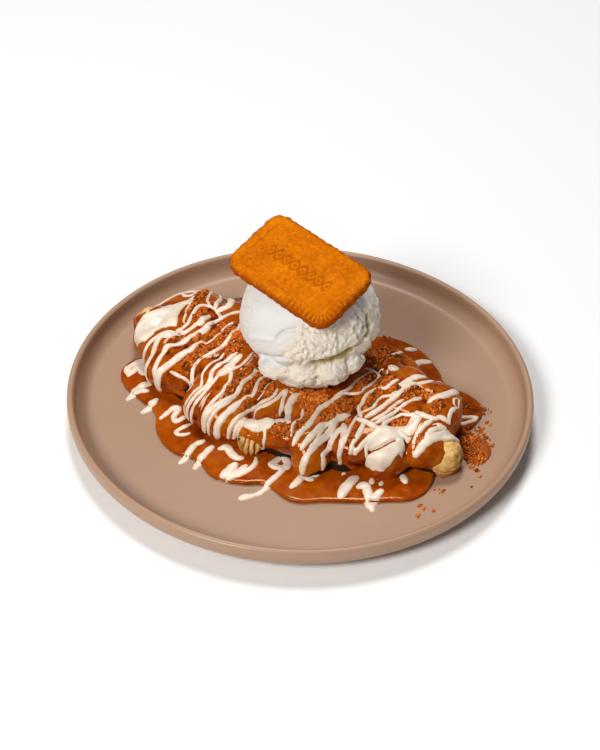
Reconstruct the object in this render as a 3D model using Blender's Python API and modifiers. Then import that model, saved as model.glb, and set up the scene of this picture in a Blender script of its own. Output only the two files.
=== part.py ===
"""A plated croffle dessert: a pressed croissant waffle in a pool of caramel sauce, with a scoop of
ice cream and a caramelised biscuit on it, on a low-rimmed plate.

Frame: metres, +Z up, origin at the centre of the plate's underside. The croffle lies across the plate,
with its long side facing -Y. Its own directions are "along" (towards its bare tip) and "across"
(towards +Y), turned by CROFFLE_TURN from X and Y.
"""

import math

import bmesh
import bpy
from mathutils import Matrix, Vector, noise

MM = 0.001
GAP = 0.3 * MM            # clearance between solids that touch

# Plate
PLATE_RADIUS = 110 * MM
PLATE_HEIGHT = 15.5 * MM
LIP_THICKNESS = 3.3 * MM
FLOOR_TOP = 5 * MM        # height of the eating surface
FLOOR_BOTTOM = 1.2 * MM
INNER_FILLET = 7.3 * MM
OUTER_FILLET = 8 * MM
FOOT_RADIUS = 70 * MM
FOOT_WIDTH = 4 * MM
PLATE_STEPS = 68

# Croffle
CROFFLE_TURN = math.radians(-29)
CROFFLE_TOP = 25.5 * MM     # ceiling that the pressed top levels off towards, above the floor
WAFFLE_PITCH = 23 * MM
WAFFLE_RIDGE = 3.2 * MM   # half width of a waffle ridge
POCKET_DEPTH = 1.6 * MM
CROFFLE_VOXEL = 1.8 * MM
CROFFLE_KEEP = 0.135      # share of the remeshed triangles that is kept

# Each roll of dough: along, across and height of its centre, half sizes the same way, turn in degrees; mm.
CORE_ROLLS = (
    (-58, 6, 9, 27, 22, 18, 0),
    (-30, 0, 9, 28, 31, 19, 0),
    (0, -1, 9, 28, 33, 19, 0),
    (30, -1, 9, 26, 30, 19, 0),
    (56, 2, 9, 21, 21, 17, 0),
)
EDGE_ROLLS = (
    (-73, 8, 11, 20.5, 26.5, 12.5, 0),
    (-49, 3, 12, 19, 36, 13.5, -5),
    (-22, -3, 12, 22, 43.5, 14, -5),
    (5, -1, 14, 18, 39, 13.5, 0),
    (27, -2, 13, 14, 43, 13.5, -6),
    (45, 0, 14, 18, 32, 13, 0),
    (62, 5, 13, 16, 24.5, 12.5, 0),
)
FRONT_LOBES = (
    (-58, -24, 9, 14, 9.5, 10, -10),
    (-24, -36.5, 8, 19, 10.5, 10, -11),
    (2, -39, 7, 8.5, 8, 8.5, 0),
    (15, -32, 14, 12, 11, 9, 0),
    (28, -38, 6, 8.5, 10, 10, 0),
    (42, -26.5, 14, 11, 10.5, 9, 0),
    (56, -20, 8, 12, 12.5, 12, 10),
    (69, -12, 12, 10, 10, 8, 10),
    (77, -6, 6, 10.5, 10.5, 9, -15),
)
REAR_LOBES = (
    (36, 33, 7, 10, 9, 10, 0),
    (6, 34, 8, 15, 9, 10, 0),
    (-25, 33, 9, 15, 9, 11, 0),
    (-50, 31, 8, 14, 9, 10, 0),
)

# Sauce on the plate
POOL_THICKNESS = 1.8 * MM
POOL_EDGE = 0.6 * MM
# Its outline from its left end along the front, in mm. The croffle rests on it.
POOL_OUTLINE = (
    (-86, 18), (-84, 7), (-75, -4), (-68, -12), (-65, -27), (-57, -39), (-46, -44),
    (-38, -55), (-25, -58.5), (-15, -59), (-2, -69), (11, -68.5), (26, -68.5), (40, -67.5),
    (52, -65.5), (60, -54), (60, -40), (72, -24), (81, -16), (85.5, -5), (80, 4), (70, 10.5),
    (66, 22), (57, 38), (43, 46), (28, 45), (8, 44), (-12, 40), (-34, 48), (-56, 44), (-74, 29),
)

# Ice cream scoop
SCOOP_CENTRE = Vector((3.6, 2, 53)) * MM
SCOOP_RADIUS = 32.7 * MM
SKIRT_SWELL = 2.6 * MM    # how far the ragged skirt stands out
SKIRT_LATITUDE = math.radians(-38)
SKIRT_SPREAD = math.radians(11)

# Biscuit
BISCUIT_LENGTH = 60.5 * MM
BISCUIT_WIDTH = 37.5 * MM
BISCUIT_THICKNESS = 5.8 * MM
BISCUIT_CORNER = 8 * MM
BISCUIT_CENTRE = Vector((-1.6, -2, 82.8)) * MM
BISCUIT_TILT = math.radians(19)       # of its face from level
BISCUIT_TILT_TOWARDS = math.radians(246)
BISCUIT_TURN = math.radians(-43)      # of its long side from +X
SCALLOP_PITCH = 4.2 * MM
SCALLOP_DEPTH = 0.55 * MM
FRAME_WIDTH = 5.5 * MM                # raised border round the face
FACE_RECESS = 0.8 * MM

# Crumbs heaped on the plate beside the tip
HEAP_CENTRE = Vector((82.5, -32.5, 0)) * MM
HEAP_RADII = Vector((7.5, 10, 3.2)) * MM


def clear_scene():
    for obj in list(bpy.data.objects):
        bpy.data.objects.remove(obj)


def new_collection(name):
    collection = bpy.data.collections.new(name)
    bpy.context.scene.collection.children.link(collection)
    return collection


def material(name, colour, roughness, coat=0.0, subsurface=0.0):
    made = bpy.data.materials.new(name)
    made.use_nodes = True
    shader = made.node_tree.nodes["Principled BSDF"]
    shader.inputs["Base Color"].default_value = (*colour, 1)
    shader.inputs["Roughness"].default_value = roughness
    shader.inputs["Metallic"].default_value = 0
    shader.inputs["Coat Weight"].default_value = coat
    shader.inputs["Subsurface Weight"].default_value = subsurface
    return made


def add_object(name, mesh, collection, finish=None, smooth_angle=None):
    obj = bpy.data.objects.new(name, mesh)
    collection.objects.link(obj)
    if finish:
        mesh.materials.clear()
        mesh.materials.append(finish)
    if smooth_angle:
        mesh.shade_smooth()
        mesh.set_sharp_from_angle(angle=smooth_angle)
    return obj


def mesh_from(bm, name):
    mesh = bpy.data.meshes.new(name)
    bm.to_mesh(mesh)
    bm.free()
    return mesh


def evaluated_mesh(obj):
    """The object's mesh with its modifiers applied; the object is removed."""
    graph = bpy.context.evaluated_depsgraph_get()
    graph.update()
    mesh = bpy.data.meshes.new_from_object(obj.evaluated_get(graph))
    bpy.data.objects.remove(obj)
    return mesh


def cutter_from(obj, grow, collection):
    """A hidden copy of obj, swollen by grow, for cutting its neighbours."""
    bm = bmesh.new()
    bm.from_mesh(obj.data)
    bm.transform(obj.matrix_world)
    bm.normal_update()
    moves = [(vert, vert.normal * grow) for vert in bm.verts]
    for vert, move in moves:
        vert.co += move
    cutter = add_object(obj.name + "_cutter", mesh_from(bm, obj.name + "_cutter"), collection)
    cutter.hide_render = True
    cutter.display_type = "WIRE"
    return cutter


def cut(obj, cutter):
    modifier = obj.modifiers.new("cut_" + cutter.name, "BOOLEAN")
    modifier.operation = "DIFFERENCE"
    modifier.solver = "EXACT"
    modifier.object = cutter


def arc(centre_r, centre_z, radius, start, end, count):
    """Points along an arc of a turned profile; angles in degrees."""
    angles = [math.radians(start + (end - start) * i / (count - 1)) for i in range(count)]
    return [(centre_r + radius * math.cos(a), centre_z + radius * math.sin(a)) for a in angles]


def plate_profile():
    """From the middle of the floor, over the lip, to the middle of the underside."""
    lip = LIP_THICKNESS / 2
    inner_wall = PLATE_RADIUS - LIP_THICKNESS - 0.4 * MM
    outer_bottom = PLATE_HEIGHT - lip - 1.8 * MM - OUTER_FILLET
    points = [(0, FLOOR_TOP)]
    points += arc(inner_wall - INNER_FILLET, FLOOR_TOP + INNER_FILLET, INNER_FILLET, -90, 0, 5)
    points += arc(PLATE_RADIUS - lip, PLATE_HEIGHT - lip, lip, 180, 0, 6)
    points += arc(PLATE_RADIUS - OUTER_FILLET, outer_bottom + OUTER_FILLET, OUTER_FILLET, 0, -80, 5)
    points += [
        (FOOT_RADIUS + 6 * MM, FLOOR_BOTTOM + 0.5 * MM),
        (FOOT_RADIUS + 0.8 * MM, FLOOR_BOTTOM),
        (FOOT_RADIUS, 0),
        (FOOT_RADIUS - FOOT_WIDTH, 0),
        (FOOT_RADIUS - FOOT_WIDTH - 0.8 * MM, FLOOR_BOTTOM),
        (0, FLOOR_BOTTOM),
    ]
    return points


def make_plate(collection, finish):
    bm = bmesh.new()
    verts = [bm.verts.new((r, 0, z)) for r, z in plate_profile()]
    for first, second in zip(verts, verts[1:]):
        bm.edges.new((first, second))
    blank = add_object("plate_profile", mesh_from(bm, "plate_profile"), collection)
    screw = blank.modifiers.new("turn", "SCREW")
    screw.steps = screw.render_steps = PLATE_STEPS
    screw.use_merge_vertices = True
    screw.merge_threshold = 0.01 * MM
    return add_object("plate", evaluated_mesh(blank), collection, finish, math.radians(30))


def add_roll(bm, roll):
    along, across, height, half_along, half_across, half_up, turn = roll
    place = (
        Matrix.Translation(Vector((along, across, height)) * MM)
        @ Matrix.Rotation(math.radians(turn), 4, "Z")
        @ Matrix.Diagonal((half_along * MM, half_across * MM, half_up * MM, 1))
    )
    bmesh.ops.create_icosphere(bm, subdivisions=4, radius=1, matrix=place)


def pocket_depth(along, across):
    """How far the waffle iron's teeth press in at a point of the top, from 0 on a ridge to 1 in a pocket."""
    def off_ridge(value):
        distance = abs((value / WAFFLE_PITCH) % 1 - 0.5) * WAFFLE_PITCH
        return WAFFLE_PITCH / 2 - distance
    inside = (min(off_ridge(along), off_ridge(across)) - WAFFLE_RIDGE) / (2 * WAFFLE_RIDGE)
    share = max(0.0, min(1.0, inside))
    return share * share * (3 - 2 * share)


def press(point):
    """The waffle iron levels the top of the dough and prints its pockets."""
    height = max(point.z, 0.0)
    levelled = height / (1 + (height / CROFFLE_TOP) ** 4) ** 0.25
    on_top = max(0.0, min(1.0, (levelled - 0.6 * CROFFLE_TOP) / (0.2 * CROFFLE_TOP)))
    levelled -= POCKET_DEPTH * on_top * pocket_depth(point.x, point.y)
    return Vector((point.x, point.y, levelled if point.z > 0 else point.z))


def make_croffle(collection, finish):
    bm = bmesh.new()
    for roll in CORE_ROLLS + EDGE_ROLLS + FRONT_LOBES + REAR_LOBES:
        add_roll(bm, roll)
    dough = add_object("dough", mesh_from(bm, "dough"), collection)
    remesh = dough.modifiers.new("merge_rolls", "REMESH")
    remesh.mode = "VOXEL"
    remesh.voxel_size = CROFFLE_VOXEL
    soften = dough.modifiers.new("soften", "SMOOTH")
    soften.factor = 0.5
    soften.iterations = 3
    bm = bmesh.new()
    bm.from_mesh(evaluated_mesh(dough))
    for vert in bm.verts:
        vert.co = press(vert.co)
    pressed = add_object("pressed", mesh_from(bm, "pressed"), collection)
    decimate = pressed.modifiers.new("lighten", "DECIMATE")
    decimate.ratio = CROFFLE_KEEP
    bm = bmesh.new()
    bm.from_mesh(evaluated_mesh(pressed))
    bm.transform(Matrix.Translation((0, 0, FLOOR_TOP)) @ Matrix.Rotation(CROFFLE_TURN, 4, "Z"))
    sit_on(bm, FLOOR_TOP + GAP + POOL_THICKNESS + GAP)
    return add_object("croffle", mesh_from(bm, "croffle"), collection, finish, math.radians(50))


def sit_on(bm, height):
    """Cuts the shape off flat at a height and closes it there."""
    geometry = bm.verts[:] + bm.edges[:] + bm.faces[:]
    sliced = bmesh.ops.bisect_plane(
        bm, geom=geometry, dist=0.001 * MM, plane_co=(0, 0, height), plane_no=(0, 0, 1), clear_inner=True
    )
    rim = [item for item in sliced["geom_cut"] if isinstance(item, bmesh.types.BMEdge)]
    filled = bmesh.ops.edgeloop_fill(bm, edges=rim)
    bmesh.ops.triangulate(bm, faces=filled["faces"])
    bmesh.ops.recalc_face_normals(bm, faces=bm.faces[:])


def make_pool(collection, finish):
    curve = bpy.data.curves.new("caramel_pool", "CURVE")
    curve.dimensions = "2D"
    curve.fill_mode = "BOTH"
    curve.resolution_u = 3
    curve.extrude = POOL_THICKNESS / 2 - POOL_EDGE
    curve.bevel_depth = POOL_EDGE
    curve.bevel_resolution = 0
    spline = curve.splines.new("BEZIER")
    spline.bezier_points.add(len(POOL_OUTLINE) - 1)
    for point, (x, y) in zip(spline.bezier_points, POOL_OUTLINE):
        point.co = (x * MM, y * MM, 0)
        point.handle_left_type = point.handle_right_type = "AUTO"
    spline.use_cyclic_u = True
    outline = bpy.data.objects.new("pool_outline", curve)
    outline.location = (0, 0, FLOOR_TOP + GAP + POOL_THICKNESS / 2)
    collection.objects.link(outline)
    bpy.context.view_layer.update()
    place = outline.matrix_world.copy()
    bm = bmesh.new()
    bm.from_mesh(evaluated_mesh(outline))
    bm.transform(place)
    bmesh.ops.remove_doubles(bm, verts=bm.verts, dist=0.01 * MM)
    bmesh.ops.recalc_face_normals(bm, faces=bm.faces[:])
    return add_object("caramel_pool", mesh_from(bm, "caramel_pool"), collection, finish, math.radians(40))


def scoop_radius(direction):
    """The ball's radius in a direction: round, with a ragged skirt low down and a slightly uneven skin."""
    latitude = math.asin(max(-1.0, min(1.0, direction.z)))
    skirt = math.exp(-(((latitude - SKIRT_LATITUDE) / SKIRT_SPREAD) ** 2))
    ragged = 0.75 + 0.6 * noise.noise(direction * 4.5)
    uneven = 0.5 * MM * noise.noise(direction * 2.2)
    return SCOOP_RADIUS + SKIRT_SWELL * skirt * ragged + uneven


def make_scoop(collection, finish, croffle_cutter):
    bm = bmesh.new()
    bmesh.ops.create_uvsphere(bm, u_segments=42, v_segments=27, radius=1)
    for vert in bm.verts:
        direction = vert.co.normalized()
        vert.co = SCOOP_CENTRE + direction * scoop_radius(direction)
    level = biscuit_place() @ Vector((0, 0, -BISCUIT_THICKNESS / 2 - GAP))
    geometry = bm.verts[:] + bm.edges[:] + bm.faces[:]
    sliced = bmesh.ops.bisect_plane(
        bm, geom=geometry, dist=0.001 * MM, plane_co=level, plane_no=biscuit_normal(), clear_outer=True
    )
    rim = [item for item in sliced["geom_cut"] if isinstance(item, bmesh.types.BMEdge)]
    bmesh.ops.edgeloop_fill(bm, edges=rim)
    bmesh.ops.recalc_face_normals(bm, faces=bm.faces[:])
    scoop = add_object("ice_cream", mesh_from(bm, "ice_cream"), collection, finish, math.radians(50))
    cut(scoop, croffle_cutter)
    return scoop


def biscuit_normal():
    lean = math.sin(BISCUIT_TILT)
    return Vector((
        lean * math.cos(BISCUIT_TILT_TOWARDS),
        lean * math.sin(BISCUIT_TILT_TOWARDS),
        math.cos(BISCUIT_TILT),
    ))


def biscuit_place():
    normal = biscuit_normal()
    heading = Vector((math.cos(BISCUIT_TURN), math.sin(BISCUIT_TURN), 0))
    length_way = (heading - normal * heading.dot(normal)).normalized()
    width_way = normal.cross(length_way)
    turn = Matrix((length_way, width_way, normal)).transposed().to_4x4()
    return Matrix.Translation(BISCUIT_CENTRE) @ turn


def biscuit_outline(inset, scallop_depth):
    """Points round a rounded rectangle whose edge is fluted; walked at an even pace."""
    half_x = BISCUIT_LENGTH / 2 - inset - scallop_depth
    half_y = BISCUIT_WIDTH / 2 - inset - scallop_depth
    corner = max(BISCUIT_CORNER - inset, 1 * MM)
    straight_x, straight_y = 2 * (half_x - corner), 2 * (half_y - corner)
    quarter = corner * math.pi / 2
    total = 2 * (straight_x + straight_y) + 4 * quarter
    flutes = round(2 * (BISCUIT_LENGTH + BISCUIT_WIDTH - 2 * BISCUIT_CORNER) / SCALLOP_PITCH)
    count = flutes * 3
    points = []
    for i in range(count):
        at = total * i / count
        for side in range(4):
            straight = straight_y if side % 2 == 0 else straight_x
            if at < straight + quarter or side == 3:
                break
            at -= straight + quarter
        turn = side * math.pi / 2
        reach = half_x if side % 2 == 0 else half_y
        if at < straight:
            local, out = Vector((reach, at - straight / 2)), Vector((1, 0))
        else:
            angle = min((at - straight) / corner, math.pi / 2)
            out = Vector((math.cos(angle), math.sin(angle)))
            local = Vector((reach - corner, straight / 2)) + out * corner
        flute = abs(math.sin(math.pi * flutes * i / count))
        local += out * scallop_depth * (flute + 1) / 2
        cos_turn, sin_turn = math.cos(turn), math.sin(turn)
        points.append((local.x * cos_turn - local.y * sin_turn, local.x * sin_turn + local.y * cos_turn))
    return points


def make_biscuit(collection, finish):
    half = BISCUIT_THICKNESS / 2
    levels = (
        (1.2 * MM, SCALLOP_DEPTH, -half),
        (0, SCALLOP_DEPTH, -half + 1.2 * MM),
        (0, SCALLOP_DEPTH, half - 1.2 * MM),
        (1.4 * MM, SCALLOP_DEPTH, half),
        (FRAME_WIDTH, 0, half),
        (FRAME_WIDTH + 0.9 * MM, 0, half - FACE_RECESS),
    )
    bm = bmesh.new()
    loops = []
    for inset, depth, height in levels:
        ring = [bm.verts.new((x, y, height)) for x, y in biscuit_outline(inset, depth)]
        loops.append([bm.edges.new((a, b)) for a, b in zip(ring, ring[1:] + ring[:1])])
    for lower, upper in zip(loops, loops[1:]):
        bmesh.ops.bridge_loops(bm, edges=lower + upper)
    bmesh.ops.edgeloop_fill(bm, edges=loops[0])
    bmesh.ops.edgeloop_fill(bm, edges=loops[-1])
    bmesh.ops.recalc_face_normals(bm, faces=bm.faces[:])
    bm.transform(biscuit_place())
    return add_object("biscuit", mesh_from(bm, "biscuit"), collection, finish, math.radians(35))


def make_heap(collection, finish):
    bm = bmesh.new()
    bmesh.ops.create_icosphere(bm, subdivisions=3, radius=1)
    for vert in bm.verts:
        uneven = 1 + 0.22 * noise.noise(vert.co * 2.6)
        vert.co = Vector(a * b * uneven for a, b in zip(vert.co, HEAP_RADII))
        vert.co += HEAP_CENTRE + Vector((0, 0, FLOOR_TOP))
    sit_on(bm, FLOOR_TOP + GAP)
    return add_object("crumb_heap", mesh_from(bm, "crumb_heap"), collection, finish, math.radians(40))


def main():
    clear_scene()
    parts = new_collection("plated_croffle")
    cutters = new_collection("cutters")
    make_plate(parts, material("matte_glaze", (0.49, 0.30, 0.20), 0.42))
    croffle = make_croffle(parts, material("baked_dough", (0.58, 0.27, 0.07), 0.6))
    croffle_cutter = cutter_from(croffle, 1.5 * GAP, cutters)
    make_pool(parts, material("caramel_sauce", (0.40, 0.10, 0.01), 0.15, coat=0.6))
    make_scoop(parts, material("vanilla_ice_cream", (0.86, 0.83, 0.76), 0.5, subsurface=0.3), croffle_cutter)
    make_biscuit(parts, material("caramelised_biscuit", (0.62, 0.20, 0.02), 0.8))
    make_heap(parts, material("biscuit_crumbs", (0.45, 0.11, 0.02), 0.85))


main()
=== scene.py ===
"""Looks of a plated croffle dessert, built round its fixed CAD frame.

A croissant waffle coated in caramel sauce sits in a pool of the sauce on a matte glazed plate, under
drizzled milk sauce and biscuit crumbs, with a scoop of vanilla ice cream and a caramelised biscuit.
The croffle has its own plan directions, "along" towards its bare tip and "across" towards the back.
Tables of places are in millimetres; everything else is in metres.
"""

import math
import random

import bmesh
import bpy
import numpy as np
from bpy.props import FloatProperty, FloatVectorProperty, IntProperty, PointerProperty
from mathutils import Matrix, Vector, noise
from mathutils.bvhtree import BVHTree
from mathutils.kdtree import KDTree


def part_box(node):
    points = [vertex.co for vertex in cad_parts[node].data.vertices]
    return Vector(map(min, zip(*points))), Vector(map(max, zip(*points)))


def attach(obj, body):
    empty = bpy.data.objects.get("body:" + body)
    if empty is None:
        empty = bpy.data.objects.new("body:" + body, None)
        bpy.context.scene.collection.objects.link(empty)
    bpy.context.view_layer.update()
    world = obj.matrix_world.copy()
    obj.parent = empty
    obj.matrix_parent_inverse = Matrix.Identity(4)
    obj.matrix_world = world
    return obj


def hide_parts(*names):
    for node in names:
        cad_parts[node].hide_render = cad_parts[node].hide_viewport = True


bl_info = {
    "name": "Plated Croffle",
    "version": (1, 0, 0),
    "blender": (4, 5, 0),
    "location": "3D View > Sidebar > Croffle",
    "description": "Builds a croffle dessert with sauces, crumbs, ice cream and a biscuit on a plate",
    "category": "Add Mesh",
}

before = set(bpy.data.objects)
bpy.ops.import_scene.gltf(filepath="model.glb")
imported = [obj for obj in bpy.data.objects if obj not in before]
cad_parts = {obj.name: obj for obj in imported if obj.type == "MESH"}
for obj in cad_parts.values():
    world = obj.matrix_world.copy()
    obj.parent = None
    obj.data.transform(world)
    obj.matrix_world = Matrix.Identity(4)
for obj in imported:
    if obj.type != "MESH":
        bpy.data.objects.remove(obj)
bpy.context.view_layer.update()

MM = 0.001
DOWN = Vector((0, 0, -1))
CROFFLE_TURN = math.radians(-29)
TURN_COS, TURN_SIN = math.cos(CROFFLE_TURN), math.sin(CROFFLE_TURN)
PLATE_FLOOR = 5.0  # mm, height of the eating surface
CROFFLE_BASE = 6.6  # mm, where the pastry stands in the sauce
POOL_MIDDLE = 6.0  # mm, half way up the pool's rounded edge
NO_MILK = -0.4 * MM  # the milk sauce's height where there is none
CRUMB_BATCH = 120  # crumbs made together, because adding to a large bmesh is slow
HEAP_COUNT = 950  # crumbs in the heap beside the tip
LOZENGE_REACH, LOZENGE_PITCH = 19, 9.5  # mm, the row of lozenges on the biscuit

# Underside of the plate with its foot ring: radius and height in mm, from the outside in.
FOOT_RING = (
    (76.5, 1.9), (71.2, 1.3), (70.2, 0.9), (70, 0.4), (69.6, 0),
    (66.4, 0), (66, 0.4), (65.8, 0.9), (65, 1.2), (30, 1.2), (0, 1.2),
)

# Rolls of dough: along, across and height of the centre, half sizes the same way, turn in degrees.
ROLLS = (
    (-58, 6, 9, 27, 22, 18, 0),
    (-30, 0, 9, 28, 31, 19, 0),
    (0, -1, 9, 28, 33, 19, 0),
    (30, -1, 9, 26, 30, 19, 0),
    (56, 2, 9, 21, 21, 17, 0),
    (-69, 8, 11, 18.5, 26, 12.5, -4),
    (-83.5, 0.5, 9.5, 10.5, 10, 11.5, 10),
    (-79, -7, 9.5, 9, 10.5, 10.5, 0),
    (-67, -10, 11.5, 15, 15, 11.5, 0),
    (-49, 3, 12, 19, 36, 13.5, -5),
    (-22, -3, 12, 22, 43.5, 14, -5),
    (5, -1, 14, 18, 39, 13.5, 0),
    (27, -2, 13, 14, 43, 13.5, -6),
    (45, 0, 14, 18, 32, 13, 0),
    (62, 5, 13, 16, 24.5, 12.5, 0),
    (-58, -24, 9, 14, 9.5, 10, -10),
    (-24, -36.5, 8, 19, 10.5, 10, -11),
    (-1, -42, 7.5, 7, 8, 9, 0),
    (8, -35, 12.5, 9, 10.5, 8.5, 0),
    (14.5, -34, 13.5, 12, 11.5, 9.5, 0),
    (28, -38, 6, 8.5, 10, 10, 0),
    (42, -26.5, 14, 11, 10.5, 9, 0),
    (56, -20, 8, 12, 12.5, 12, 10),
    (69, -12, 12, 10, 10, 8, 10),
    (77.5, -6.5, 7, 10, 10, 9, -15),
    (10, -34, 3, 10.5, 9.5, 9, 0),
    (38.5, -27.5, 3, 9.5, 10, 9, 0),
    (71.5, -8.5, 3, 10, 9, 8, 10),
    (-46, -22, 3, 9, 11, 8, 0),
    (36, 33, 7, 10, 9, 10, 0),
    (6, 34, 8, 15, 9, 10, 0),
    (-25, 33, 9, 15, 9, 11, 0),
    (-50, 31, 8, 14, 9, 10, 0),
)

# Creases between the rolls: width, depth, then points along and across.
SEAMS = (
    (5, 0.5, ((-62, 30), (-56, 18), (-50, 5), (-47, -8), (-45, -20), (-43, -31))),
    (5, 0.5, ((-20, 40), (-14, 18), (-10, 0), (-8, -16), (-6, -30), (-7, -46))),
    (4, 0.4, ((12, -14), (11, -25), (10, -42))),
    (5, 0.5, ((30, 40), (34, 10), (36, -8), (36, -20), (37, -37))),
    (9, 1.7, ((-76.5, 1), (-75.5, -7))),
    (5, 0.5, ((60, 25), (62, 0), (65, -15), (66, -30))),
)

# Where the sauce leaves the pastry bare: reach in mm, then along, across and height of its middle.
BARE_SPOTS = (
    (8.5, (-93, 4.5, 13)),
    (6.5, (-93, -4, 11)),
    (5.5, (-90, 2.5, 20)),
    (5.2, (-90.5, -10, 8)),
    (4.4, (-88, -15, 8)),
    (8.6, (-1, -50.5, 9)),
    (9.8, (84.5, -6.5, 10)),
    (8.0, (83, -12, 7)),
    (6.0, (81.5, -6, 15)),
)

# Height of the sauce's lower edge along the front, with the foot under it painted near black as the shadow
# under the overhang: along, then height.
FRONT_EDGE = (
    (-95, 6), (-66, 6.4), (-57, 7), (-53, 9.5), (-45, 10.2), (-38, 8.6), (-25, 8.2), (-12, 8.4),
    (-8, 7.4), (-5.5, 6), (3, 6), (5, 10.4), (10, 12.8), (15, 12.4), (18.5, 9), (20, 6.4), (30, 6.4),
    (32, 9.8), (38, 12.8), (43.5, 11.6), (47, 6.6), (63, 6.4), (66.5, 10.2), (72, 12.4), (78, 11.2),
    (81, 6.2), (95, 6),
)

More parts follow.
